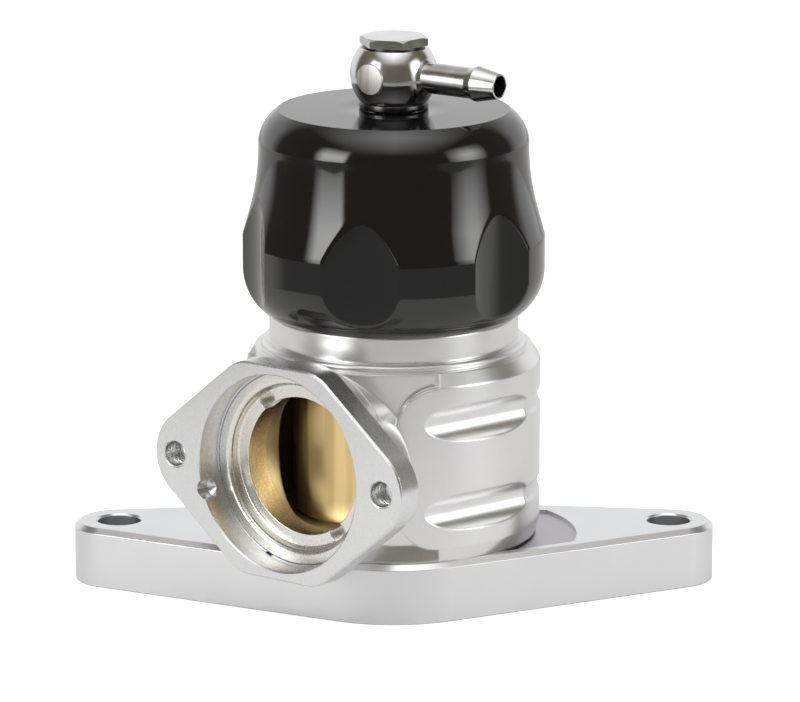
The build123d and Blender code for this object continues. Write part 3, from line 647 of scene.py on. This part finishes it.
def screw_tree():
    """Countersunk socket screws set evenly round a circle, heads down."""
    tree, given = geometry_tree("Countersunk screws", [
        ("Count", "Int"), ("Circle Radius", "Float"), ("First Azimuth", "Float"), ("Sink", "Float"),
        ("Material", "Material"),
    ])
    head = add_node(tree, "GeometryNodeMeshCone", {
        "Vertices": 48, "Radius Top": 2.0 * MM, "Radius Bottom": 4.0 * MM, "Depth": 2.3 * MM,
    })
    shank = add_node(tree, "GeometryNodeMeshCylinder", {"Vertices": 48, "Radius": 2.0 * MM, "Depth": 12.2 * MM})
    raised = add_node(tree, "GeometryNodeTransform", {"Geometry": shank, "Translation": (0, 0, 8.4 * MM)})
    whole = add_node(tree, "GeometryNodeMeshBoolean", operation="UNION", solver="EXACT")
    for solid in (head, raised):
        tree.links.new(solid.outputs[0], whole.inputs["Mesh 2"])
    socket = add_node(tree, "GeometryNodeMeshCylinder", {"Vertices": 6, "Radius": 1.443 * MM, "Depth": 3.0 * MM})
    bored = add_node(
        tree, "GeometryNodeMeshBoolean", {"Mesh 1": whole, "Mesh 2": socket}, operation="DIFFERENCE", solver="EXACT"
    )
    circle = add_node(
        tree, "GeometryNodeMeshCircle", {"Vertices": given["Count"], "Radius": given["Circle Radius"]}
    )
    turned = add_node(tree, "GeometryNodeTransform", {
        "Geometry": circle,
        "Rotation": add_node(tree, "ShaderNodeCombineXYZ", [0.0, 0.0, given["First Azimuth"]]),
        "Translation": add_node(tree, "ShaderNodeCombineXYZ", [0.0, 0.0, given["Sink"]]),
    })
    copies = add_node(tree, "GeometryNodeInstanceOnPoints", {"Points": turned, "Instance": bored})
    close_tree(tree, copies, given["Material"])
    return tree


def thread_tree():
    """Thread ridges: a three-sided profile swept along a spiral, one copy for each tapped hole."""
    tree, given = geometry_tree("Internal threads", [
        ("Pitch", "Float"), ("Depth", "Float"), ("Root Radius", "Float"), ("Spacing", "Float"),
        ("Start", "Float"), ("Material", "Material"),
    ])
    turns = add_node(tree, MATH, [given["Depth"], given["Pitch"]], operation="DIVIDE")
    path = add_node(tree, "GeometryNodeCurveSpiral", {
        "Resolution": 40, "Rotations": turns, "Height": given["Depth"],
        "Start Radius": given["Root Radius"], "End Radius": given["Root Radius"],
    })
    side = add_node(tree, MATH, [given["Pitch"], 0.52], operation="MULTIPLY")
    ridge = add_node(tree, "GeometryNodeCurvePrimitiveCircle", {"Resolution": 3, "Radius": side})
    turned = add_node(tree, "GeometryNodeTransform", {"Geometry": ridge, "Rotation": (0, 0, pi)})
    swept = add_node(
        tree, "GeometryNodeCurveToMesh", {"Curve": path, "Profile Curve": turned, "Fill Caps": True}
    )
    left = add_node(tree, MATH, [given["Spacing"], -0.5], operation="MULTIPLY")
    pair = add_node(tree, "GeometryNodeMeshLine", {
        "Count": 2, "Start Location": add_node(tree, "ShaderNodeCombineXYZ", [left, 0.0, given["Start"]]),
        "Offset": add_node(tree, "ShaderNodeCombineXYZ", [given["Spacing"], 0.0, 0.0]),
    })
    copies = add_node(tree, "GeometryNodeInstanceOnPoints", {"Points": pair, "Instance": swept})
    close_tree(tree, copies, given["Material"])
    return tree


# Adapter, in millimetres and degrees
ADAPTER_TOP = 12.0
BOLT_X, BOLT_Y = 55.2, 5.5
ADAPTER_CIRCLES = [(0, 0, 21.2), (0, -6, 24.0), (-BOLT_X, BOLT_Y, 8.9), (BOLT_X, BOLT_Y, 8.9)]
SCREW_CIRCLE, SCREW_AZIMUTH = 22.0, 25.0


def ray_radii(points, azimuths):
    """Distance from the origin to a closed outline along each azimuth."""
    shape = np.array(points)
    radius, angle = np.hypot(*shape.T), np.unwrap(np.arctan2(shape[:, 1], shape[:, 0]))
    order = np.argsort(angle % (2 * pi))
    start, end = shape[order], np.roll(shape[order], -1, axis=0)
    found = []
    for a in azimuths:
        way = np.array((cos(a), sin(a)))
        side = end - start
        bottom = way[0] * side[:, 1] - way[1] * side[:, 0]
        bottom = np.where(np.abs(bottom) < 1e-12, 1e-12, bottom)
        reach = (start[:, 0] * side[:, 1] - start[:, 1] * side[:, 0]) / bottom
        share = (start[:, 0] * way[1] - start[:, 1] * way[0]) / bottom
        found.append(min(r for r, s in zip(reach, share) if r > 0 and -1e-9 <= s <= 1 + 1e-9))
    return np.array(found)


def pocket_outline():
    """The pocket as the smaller of an obround and the adapter's own outline drawn in."""
    azimuths = np.radians(np.arange(0, 360, 0.5))
    obround = hull_outline([(-6.8, -4.5, 29.6), (6.8, -4.5, 29.6)], step=1.0)
    front = ray_radii(hull_outline(ADAPTER_CIRCLES, 2.9, 1.0), azimuths)
    back = ray_radii(hull_outline(ADAPTER_CIRCLES, 4.7, 1.0), azimuths)
    room = np.where(np.sin(azimuths) < 0, front, back)
    reach = np.minimum(ray_radii(obround, azimuths), room)
    return [(r * cos(a), r * sin(a)) for r, a in zip(reach, azimuths)]


class VALVE_OT_adapter(bpy.types.Operator):
    """Builds the kite-shaped adapter flange and the screws beneath it"""

    bl_idname = "valve.adapter"
    bl_label = "Adapter flange"

    def execute(self, context):
        chosen = settings().adapter
        finish = clear_anodised(
            "milled_clear_anodised_adapter", chosen.silver, ADAPTER_STROKES, inner=pocket_floor(chosen.pocket_silver)
        )
        top = ADAPTER_TOP
        chamfer, depth = chosen.chamfer / MM, chosen.pocket_depth / MM
        plate = loft(ADAPTER_CIRCLES, rounded([
            (3.0, 0, 0), (0.25, 0, 0.1), (0, 0.25, 0.1), (0, top - chamfer, 0.15), (chamfer, top, 0.15), (3.0, top, 0)
        ]))
        pocket = combined(prism(pocket_outline(), top - depth, 14), rod(26, 9, 15), "DIFFERENCE")
        plate = cut(plate, pocket, rod(16, -2, 14))
        for x in (-BOLT_X, BOLT_X):
            hole = lathe([(0, -2), (4.35, -2), (4.35, 11.65), (4.7, top), (6.7, 14.0), (0, 14)], columns=96)
            plate = cut(plate, shifted(hole, x, BOLT_Y))
        plate = cut(plate, lathe([(17.43, 10.48), (18.97, 10.48), (18.97, 14), (17.43, 14)]))
        for k in range(chosen.screw_count):
            hole = lathe([(0, -1), (5.15, -1), (4.28, 0), (2.2, 2.39), (2.2, 14), (0, 14)], columns=48)
            azimuth = SCREW_AZIMUTH + 360 / chosen.screw_count * k
            plate = cut(plate, shifted(hole, *polar(SCREW_CIRCLE, azimuth)))
        place_piece("adapter_plate", plate, finish, "base_flange")
        steel = steel_finish("zinc_plated_screw_steel", "#8F9092", 0.34)
        screws = grown(bpy.data.meshes.new("start"), screw_tree(), {
            "Count": chosen.screw_count, "Circle Radius": SCREW_CIRCLE * MM,
            "First Azimuth": radians(SCREW_AZIMUTH), "Sink": 0.3 * MM, "Material": steel,
        })
        place_piece("base_socket_screws", screws, steel, "base_screws", metres=True)
        return {"FINISHED"}


class VALVE_OT_body(bpy.types.Operator):
    """Finishes the turned and milled valve body"""

    bl_idname = "valve.body"
    bl_label = "Valve body"

    def execute(self, context):
        chosen = settings().body
        finish = clear_anodised(
            "turned_clear_anodised_body", chosen.silver, BODY_RINGS, 0.29, 0.0006, chamber_wall(chosen.chamber_brass_reflection)
        )
        paint_node("valve_body", finish)
        return {"FINISHED"}


# Outlet, in millimetres and with distances along its own axis
FLANGE_CIRCLES = [(-21.5, 0, 9.35), (21.5, 0, 9.35)] + [(x, y, 8.0) for x in (-7.2, 7.2) for y in (-13.45, 13.45)]
FLANGE_FACE, HEAD_SEAT, RING_FACE = 37.0, 30.5, 31.3
OUTLET_NECK_RADIUS, HEAD_SEAT_RADIUS, COUNTERBORE_RADIUS = 20.5, 19.3, 19.55
TAP_X, TAP_ROOT = 25.8, 2.15 + 0.4


def outlet_plate_mesh():
    """The outlet flange with its neck, counterbore, two tapped holes and locating hole."""
    over = FLANGE_FACE + 1.0
    plate = loft(FLANGE_CIRCLES, rounded([
        (3.0, 31.5, 0), (0.2, 31.5, 0.08), (0, 31.7, 0.08), (0, 36.7, 0.1), (0.3, FLANGE_FACE, 0.1),
        (3.0, FLANGE_FACE, 0),
    ]))
    neck = lathe([(15, 26.5), (OUTLET_NECK_RADIUS, 26.5), (OUTLET_NECK_RADIUS, 32.5), (15, 32.5)])
    plate = combined(plate, neck, "UNION")
    plate = cut(plate, lathe(rounded([
        (0, 25, 0), (17.65, 25, 0), (17.65, HEAD_SEAT, 0), (HEAD_SEAT_RADIUS, HEAD_SEAT, 0),
        (HEAD_SEAT_RADIUS, RING_FACE, 0), (COUNTERBORE_RADIUS, RING_FACE, 0), (COUNTERBORE_RADIUS, 36.75, 0.1),
        (20.8, over, 0), (0, over, 0),
    ])))
    for x in (-TAP_X, TAP_X):
        hole = lathe([
            (0, 25), (TAP_ROOT, 25), (TAP_ROOT, 36.8), (TAP_ROOT + 0.2, FLANGE_FACE), (TAP_ROOT + 1.2, over),
            (0, over),
        ], columns=72)
        plate = cut(plate, shifted(hole, x, 0))
    drill = lathe([(0, 32.874), (1.95, 34.0), (1.95, 38), (0, 38)], columns=64)
    plate = cut(plate, shifted(drill, *polar(19.2, 198.3)))
    plate.transform(OUTLET)
    return cut(plate, prism(hull_outline(ADAPTER_CIRCLES, -0.3), -1, 12.3))


def ring_nut_mesh():
    """The shouldered ring nut with a rounded mouth and two notches for a pin spanner."""
    ring = lathe(rounded([
        (13.7, 23.2, 0.15), (16.0, 23.2, 0.3), (16.0, 26.6, 0), (17.5, 26.6, 0.2), (17.5, HEAD_SEAT, 0),
        (19.2, HEAD_SEAT, 0.1), (19.2, RING_FACE, 0.12), (16.45, RING_FACE, 1.1), (16.45, 28.9, 0.6),
        (13.7, 28.9, 0.12),
    ], 6))
    for azimuth in (126, 306):
        ring = cut(ring, shifted(rod(1.9, 26.7, 33, columns=48), *polar(14.85, azimuth)))
    ring.transform(OUTLET)
    return ring


class VALVE_OT_outlet(bpy.types.Operator):
    """Builds the outlet flange with its threads, and the ring nut that clamps it"""

    bl_idname = "valve.outlet"
    bl_label = "Outlet"

    def execute(self, context):
        chosen = settings().outlet
        finish = clear_anodised("milled_clear_anodised_outlet", chosen.silver, OUTLET_STROKES, 0.28)
        threads = grown(bpy.data.meshes.new("start"), thread_tree(), {
            "Pitch": chosen.thread_pitch, "Depth": 5.3 * MM, "Root Radius": 2.6 * MM, "Spacing": 51.6 * MM,
            "Start": 31.6 * MM, "Material": finish,
        })
        threads.transform(Matrix.Scale(1 / MM, 4))
        threads.transform(OUTLET)
        plate = joined(outlet_plate_mesh(), threads)
        place_piece("outlet_plate", plate, finish, "outlet_flange")
        ring_finish = clear_anodised(
            "fine_turned_aluminium_ring", chosen.ring_silver, RING_MARKS, 0.27, 0.0002
        )
        place_piece("ring_nut", ring_nut_mesh(), ring_finish, "outlet_ring")
        return {"FINISHED"}


# Piston and spring, in millimetres
PISTON_RADIUS, PISTON_TOP = 20.0, 56.5


class VALVE_OT_piston(bpy.types.Operator):
    """Builds the brass piston and its spring, and finishes the seals and spring seats"""

    bl_idname = "valve.piston"
    bl_label = "Piston and spring"

    def execute(self, context):
        chosen = settings().piston
        brass = brass_finish(chosen.brass)
        grooves = []
        for drop in (8.5, 4.0):
            low, high = PISTON_TOP - drop - 0.77, PISTON_TOP - drop + 0.77
            grooves += [
                (PISTON_RADIUS, low, 0.1), (18.49, low, 0.1), (18.49, high, 0.1), (PISTON_RADIUS, high, 0.1),
            ]
        cup = lathe(rounded([
            (0, 16.5, 0), (19.2, 16.5, 0.2), (PISTON_RADIUS, 17.3, 0.2), *grooves,
            (PISTON_RADIUS, PISTON_TOP, 0.3), (17.0, PISTON_TOP, 0.2), (17.0, 19.5, 0.6), (0, 19.5, 0),
        ]))
        place_piece("piston_cup", cup, brass, "piston", body="piston")
        wire = steel_finish("oiled_spring_steel", "#6E7074", 0.3, SPRING_STREAKS)
        coil = grown(bpy.data.meshes.new("start"), coil_tree(), {
            "Turns": chosen.spring_turns, "Radius": 12.5 * MM, "Height": 69.7 * MM,
            "Wire Radius": chosen.wire / 2, "Base": 20.7 * MM, "Material": wire,
        })
        spring = place_piece("coil_spring", coil, wire, "spring", None, metres=True)
        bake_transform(spring)
        rubber = rubber_finish()
        for node in ("base_seal", "outlet_seal", "cap_seal", "piston_seal_lower", "piston_seal_upper"):
            paint_node(node, rubber)
        seat = steel_finish("zinc_plated_pressed_steel", "#8C8D90", 0.32)
        for node in ("lower_spring_seat", "upper_spring_seat"):
            paint_node(node, seat)
        return {"FINISHED"}


# Cap, in millimetres and degrees
CAP_RADIUS, CAP_WALL, CAP_FOOT, CAP_TOP = 29.9, 26.7, 56.3, 97.3
SCALLOP_AZIMUTH = -103.0


def arc_through(start, end, centre, steps):
    """Points of an arc from start to end about a centre, both ends included."""
    first = atan2(start[1] - centre[1], start[0] - centre[0])
    last = atan2(end[1] - centre[1], end[0] - centre[0])
    radius = sqrt((start[0] - centre[0]) ** 2 + (start[1] - centre[1]) ** 2)
    angles = first + np.linspace(0, (last - first + pi) % (2 * pi) - pi, steps + 1)
    return [(centre[0] + radius * cos(a), centre[1] + radius * sin(a)) for a in angles]


def tangent_arc(level, other, steps):
    """Arc that leaves a vertical wall at the level point and ends at the other point."""
    dx, dz = other[0] - level[0], other[1] - level[1]
    reach = (dx * dx + dz * dz) / (2 * abs(dx))
    centre = (level[0] - reach if dx < 0 else level[0] + reach, level[1])
    return arc_through(level, other, centre, steps)


def cap_profile():
    """Closed profile of the cap: rounded foot, band, flare, swept wall, top round and inside.

    Foot, top and scallops follow the photograph and differ a little from the CAD source."""
    foot = [(24.8, CAP_FOOT)] + tangent_arc((CAP_RADIUS, 65.5), (25.6, 56.85), 26)[::-1]
    band = [(CAP_RADIUS, z) for z in np.linspace(65.5, 72.0, 9)[1:]]
    flare = [(CAP_RADIUS - 1.39 * t, 72.0 + 5.0 * t) for t in np.linspace(0, 1, 13)[1:]]
    sweep = tangent_arc((CAP_WALL, 90.0), (28.51, 77.0), 26)[::-1][1:]
    wall = [(CAP_WALL, 90.8), (CAP_WALL, 91.1)]
    top = arc_through((CAP_WALL, 91.2), (22.8, 97.08), (18.004, 89.667), 16)
    top.insert(1, (26.683, 91.298))
    crown = [(18.0, 97.12), (12.0, 97.21), (7.0, CAP_TOP)]
    inside = rounded([
        (3.97, CAP_TOP, 0.15), (3.97, 91.6, 0), (15.65, 91.6, 0), (15.65, 90.8, 0.1), (22.3, 90.8, 1.0),
        (22.3, 70.3, 0), (24.3, 70.3, 0.1), (24.3, CAP_FOOT, 0.2),
    ])
    return foot + band + flare + sweep + wall + top + crown + inside


class VALVE_OT_cap(bpy.types.Operator):
    """Builds the gloss black cap and its scallops"""

    bl_idname = "valve.cap"
    bl_label = "Cap"

    def execute(self, context):
        chosen = settings().cap
        finish = black_finish(chosen.black)
        start = bpy.data.meshes.new("start")
        start.from_pydata([(r * MM, 0, z * MM) for r, z in cap_profile()], [], [])
        mesh = grown(start, scalloped_turning(), {
            "Columns": 720, "Scallops": chosen.scallops, "First Azimuth": radians(SCALLOP_AZIMUTH),
            "Floor Radius": chosen.scallop_floor, "Cutter Radius": chosen.scallop_radius,
            "Edge Softness": 0.0002, "Material": finish,
        })
        bm = bmesh.new()
        bm.from_mesh(mesh)
        bmesh.ops.recalc_face_normals(bm, faces=bm.faces)
        bm.to_mesh(mesh)
        bm.free()
        place_piece("cap_shell", mesh, finish, "cap", metres=True, sharp=20, weighted=False)
        return {"FINISHED"}


# Banjo fitting, in millimetres
BALL_RADIUS, BALL_BOTTOM, BALL_TOP, BANJO_BORE = 8.6, 98.7, 109.5, 4.0
HEXAGON_SEAT, HEXAGON_TOP, HEXAGON_AZIMUTH = 109.9, 111.6, -73.5


def banjo_ball_mesh():
    """The banjo's ball with its flat ends, brazed collar, gallery, two sockets and bore."""
    turns = np.linspace(-0.66, 0.66, 31)
    ball = [(BALL_RADIUS * cos(t), BALL_CENTRE + BALL_RADIUS * sin(t)) for t in turns]
    flat = sqrt(BALL_RADIUS ** 2 - 5.4 ** 2) - 0.3
    mesh = lathe([
        (BANJO_BORE, BALL_BOTTOM), (flat, BALL_BOTTOM), *ball, (flat, BALL_TOP), (BANJO_BORE, BALL_TOP),
    ], columns=180)
    collar = rounded([(0, 6.5, 0), (3.75, 6.5, 0), (3.75, 7.74, 0.4), (3.07, 8.39, 0.1), (0, 8.39, 0)], 4)
    mesh = combined(mesh, lathe(collar, TUBE, 96), "UNION")
    mesh = cut(mesh, rod(5, 101, 107.2, columns=96))
    for place in (TUBE, PLUG):
        mesh = cut(mesh, lathe([(0, 0.5), (2.1, 0.5), (2.1, 6.0), (3.07, 6.0), (3.07, 14), (0, 14)], place, 72))
    return cut(mesh, rod(BANJO_BORE, 97, 111, columns=96))


def hexagon_bolt_mesh(across):
    """The banjo bolt: a hexagon with a turned crown, its shank and its two passages."""
    corner, top = across / sqrt(3), HEXAGON_TOP
    head = prism([polar(corner, HEXAGON_AZIMUTH + 60 * k) for k in range(6)], HEXAGON_SEAT, top)
    crown = lathe(rounded([
        (0, 109.0, 0), (corner + 1, 109.0, 0), (corner + 1, top - 0.98, 0), (corner - 0.7, top, 0.15), (0, top, 0)
    ]))
    head = combined(head, crown, "INTERSECT")
    bolt = combined(head, rod(3.95, 92.4, 110.4, columns=96), "UNION")
    bolt = cut(bolt, rod(1.6, 90, BALL_CENTRE, columns=48))
    return cut(bolt, rod(1.2, -5, 5, axis_frame(0, BALL_CENTRE), 32))


class VALVE_OT_fitting(bpy.types.Operator):
    """Builds the plated banjo fitting, its hose barb, plug, bolt and washers"""

    bl_idname = "valve.fitting"
    bl_label = "Banjo fitting"

    def execute(self, context):
        chosen = settings().fitting
        nickel = nickel_finish(chosen.plate)
        place_piece("banjo_ball", banjo_ball_mesh(), nickel, "banjo_ring")
        barb = lathe(rounded([
            (2.1, 6.0, 0), (3.05, 6.0, 0), (3.05, 18.4, 0.1), (3.5, 20.0, 0.15), (2.45, 25.0, 0.15),
            (2.1, 25.0, 0.1),
        ]), TUBE, 120)
        place_piece("hose_nipple", barb, nickel, "hose_barb")
        brushed = steel_finish("brushed_plug_face", "#C8C6C2", 0.34, PLUG_STREAKS)
        # The washers' dark grey is a painted reflection of the black cap beneath the ball.
        dark = steel_finish("painted_dark_washer_steel", "#5A5A5C", 0.2)
        plug = lathe(rounded([(0, 6.0, 0), (3.05, 6.0, 0), (3.05, 8.5, 0.15), (0, 8.5, 0)]), PLUG, 96)
        place_piece("end_plug", plug, brushed, "banjo_plug")
        bolt = hexagon_bolt_mesh(chosen.hexagon / MM)
        place_piece("hexagon_bolt", bolt, nickel, "banjo_bolt", sharp=20)
        for name, node, radius, low, high in (
            ("thick_washer", "lower_banjo_washer", 6.8, CAP_TOP, BALL_BOTTOM),
            ("thin_washer", "upper_banjo_washer", 6.2, BALL_TOP, HEXAGON_SEAT),
        ):
            edge = min(0.25, (high - low) * 0.3)
            washer = lathe(rounded([
                (BANJO_BORE, low, 0.05), (radius, low, edge), (radius, high, edge), (BANJO_BORE, high, 0.05),
            ]), columns=120)
            place_piece(name, washer, dark, node)
        return {"FINISHED"}


# Stage, in metres and degrees. The camera is the one fitted to the photograph.
LAMP_TARGET, LAMP_DISTANCE = 0.06, 1.25
RIGHT_SHARE = 0.82
CAMERA_LENS, CAMERA_PLACE, CAMERA_PITCH = 256.14, (0.00123, -1.1, 0.3087), 13.33


def studio_world(room):
    """White for the camera, and a white backdrop behind the valve with a darker room in front."""
    world = bpy.data.worlds.new("studio")
    world.use_nodes = True
    tree = world.node_tree
    tree.nodes.clear()
    way = add_node(tree, SPLIT, [add_node(tree, "ShaderNodeTexCoord").outputs["Generated"]]).outputs
    behind = add_node(tree, RANGE, [way[1], 0.42, 0.6, 0.0, 1.0])
    high = add_node(tree, RANGE, [way[2], 0.42, 0.6, 1.0, 0.5])
    pale = add_node(tree, MATH, [behind, high], operation="MULTIPLY")
    camera_ray = add_node(tree, "ShaderNodeLightPath").outputs["Is Camera Ray"]
    pale = add_node(tree, MATH, [pale, camera_ray], operation="MAXIMUM")
    shade = add_node(tree, MIX, {0: pale, 6: rgba(room), 7: (1.0, 1.0, 1.0, 1.0)}, data_type="RGBA").outputs[2]
    back = add_node(tree, "ShaderNodeBackground", {"Color": shade, "Strength": 1.0})
    add_node(tree, "ShaderNodeOutputWorld", {"Surface": back})
    bpy.context.scene.world = world


def floor_finish():
    """Pale table: white to the eye, with the soft shadow kept, and plain pale paint for other light.

    Mirror and glass rays show it white too. In front of the valve and far from it, it is painted dimmer for all but
    camera rays: painted shade where the lamps' light falls off."""
    material, tree, surface, where = new_finish("pale_table")
    tree.nodes.remove(surface)
    path = add_node(tree, "ShaderNodeLightPath").outputs
    seen = add_node(tree, MATH, [path["Is Camera Ray"], path["Is Glossy Ray"]], operation="MAXIMUM")
    seen = add_node(tree, MATH, [seen, path["Is Transmission Ray"]], operation="MAXIMUM")
    reach = add_node(tree, "ShaderNodeVectorMath", [where], operation="LENGTH").outputs["Value"]
    near = add_node(tree, RANGE, [reach, 0.258, 0.268, 1.0, 0.0])
    behind = add_node(tree, RANGE, [add_node(tree, SPLIT, [where]).outputs[1], -0.02, 0.06, 0.0, 1.0])
    near = add_node(tree, MATH, [near, behind], operation="MAXIMUM")
    shown = add_node(tree, MATH, [near, path["Is Camera Ray"]], operation="MAXIMUM")
    glow = add_node(tree, RANGE, [path["Is Camera Ray"], 0.0, 1.0, 0.12, 0.62])
    glow = add_node(tree, MATH, [glow, seen], operation="MULTIPLY")
    glow = add_node(tree, "ShaderNodeEmission", {"Strength": glow})
    paint = add_node(tree, "ShaderNodeBsdfDiffuse", {"Color": (0.82, 0.82, 0.82, 1.0)})
    both = add_node(tree, "ShaderNodeAddShader", [paint, glow])
    # Painted shade: a dimmer table paint in front of the valve and far from it.
    painted_dim_table = add_node(tree, "ShaderNodeBsdfDiffuse", {"Color": (0.36, 0.36, 0.36, 1.0)})
    both = add_node(tree, "ShaderNodeMixShader", [shown, painted_dim_table, both])
    output = next(n for n in tree.nodes if n.type == "OUTPUT_MATERIAL")
    tree.links.new(both.outputs[0], output.inputs[0])
    return material


def softbox(name, azimuth, elevation, size, brightness, fades, tint=(1.0, 1.0, 1.0)):
    """Area lamp that faces the valve from one direction, seen in reflections and never by the camera.

    Each side has the share of the lamp over which its light fades, and what is left of it at the edge."""
    lamp = bpy.data.lights.new(name, "AREA")
    lamp.shape = "RECTANGLE"
    lamp.size, lamp.size_y = size
    lamp.energy = brightness * pi * size[0] * size[1]
    lamp.color = tint
    lamp.use_nodes = True
    tree = lamp.node_tree
    tree.nodes.clear()
    across = add_node(tree, "ShaderNodeNewGeometry").outputs["Parametric"]
    spot = add_node(tree, SPLIT, [across]).outputs
    light = 1.0
    for axis, (first, last) in enumerate((fades[:2], fades[2:])):
        for (share, least), far in ((first, False), (last, True)):
            if share:
                start, end = (1.0, 1.0 - share) if far else (0.0, share)
                fade = add_node(tree, RANGE, [spot[axis], start, end, least, 1.0])
                light = add_node(tree, MATH, [light, fade], operation="MULTIPLY")
    glow = add_node(tree, "ShaderNodeEmission", {"Strength": light})
    add_node(tree, "ShaderNodeOutputLight", [glow])
    obj = bpy.data.objects.new(name, lamp)
    a, e = radians(azimuth), radians(elevation)
    toward = Vector((cos(a) * cos(e), sin(a) * cos(e), sin(e)))
    obj.location = Vector((0, 0, LAMP_TARGET)) + toward * LAMP_DISTANCE
    obj.rotation_euler = toward.to_track_quat("Z", "Y").to_euler()
    obj.visible_camera = False
    bpy.context.scene.collection.objects.link(obj)


class VALVE_OT_stage(bpy.types.Operator):
    """Sets the table, the lamps, the world and the camera"""

    bl_idname = "valve.stage"
    bl_label = "Stage"

    def execute(self, context):
        chosen = settings().stage
        floor = scratch_object(prism([(-450, -380), (450, -380), (450, 1400), (-450, 1400)], -20, 0))
        floor.data.transform(Matrix.Scale(MM, 4))
        floor.name = "table"
        floor.data.materials.append(floor_finish())
        studio_world(chosen.room)
        side, right = chosen.side_light, RIGHT_SHARE * chosen.side_light
        upright = ((0.64, 0.12), (0.36, 0.0))
        softbox("left_softbox", -145.8, 12, (0.68, 1.22), side, ((0.3, 0.0), (0.1, 0.2), *upright))
        softbox("right_softbox", -23.7, 12, (0.84, 1.22), right, ((0.4, 0.1), (0.4, 0.1), *upright))
        softbox("overhead_softbox", -90, 78, (2.25, 2.68), chosen.top_light, ((0.5, 0.0),) * 4, (0.98, 0.98, 1.0))
        camera = bpy.data.cameras.new("camera")
        camera.sensor_width = 36.0
        camera.sensor_fit = "HORIZONTAL"
        camera.lens = CAMERA_LENS
        obj = bpy.data.objects.new("camera", camera)
        obj.location = CAMERA_PLACE
        obj.rotation_euler = (radians(90 - CAMERA_PITCH), 0, 0)
        context.scene.collection.objects.link(obj)
        context.scene.camera = obj
        context.scene.view_settings.view_transform = "Standard"
        return {"FINISHED"}


OPERATORS = (
    VALVE_OT_adapter, VALVE_OT_body, VALVE_OT_outlet, VALVE_OT_piston, VALVE_OT_cap, VALVE_OT_fitting,
    VALVE_OT_stage,
)


class VALVE_PT_panel(bpy.types.Panel):
    """Lists the pieces of the valve and the sizes and colours that a user would change"""

    bl_label = "Blow off valve"
    bl_idname = "VALVE_PT_panel"
    bl_space_type = "VIEW_3D"
    bl_region_type = "UI"
    bl_category = "Valve"

    def draw(self, context):
        chosen = context.scene.blow_off_valve
        for part, operator in zip(("adapter", "body", "outlet", "piston", "cap", "fitting", "stage"), OPERATORS):
            box = self.layout.box()
            box.operator(operator.bl_idname)
            group = getattr(chosen, part)
            for key in group.bl_rna.properties.keys():
                if key not in ("rna_type", "name"):
                    box.prop(group, key)


GROUPS = (
    AdapterSettings, BodySettings, OutletSettings, PistonSettings, CapSettings, FittingSettings, StageSettings,
    ValveSettings,
)


def register():
    for made in (*GROUPS, *OPERATORS, VALVE_PT_panel):
        bpy.utils.register_class(made)
    bpy.types.Scene.blow_off_valve = PointerProperty(type=ValveSettings)


def unregister():
    del bpy.types.Scene.blow_off_valve
    for made in reversed((*GROUPS, *OPERATORS, VALVE_PT_panel)):
        bpy.utils.unregister_class(made)


def main():
    register()
    bpy.ops.valve.adapter()
    bpy.ops.valve.body()
    bpy.ops.valve.outlet()
    bpy.ops.valve.piston()
    bpy.ops.valve.cap()
    bpy.ops.valve.fitting()
    bpy.ops.valve.stage()


if __name__ == "__main__":
    main()
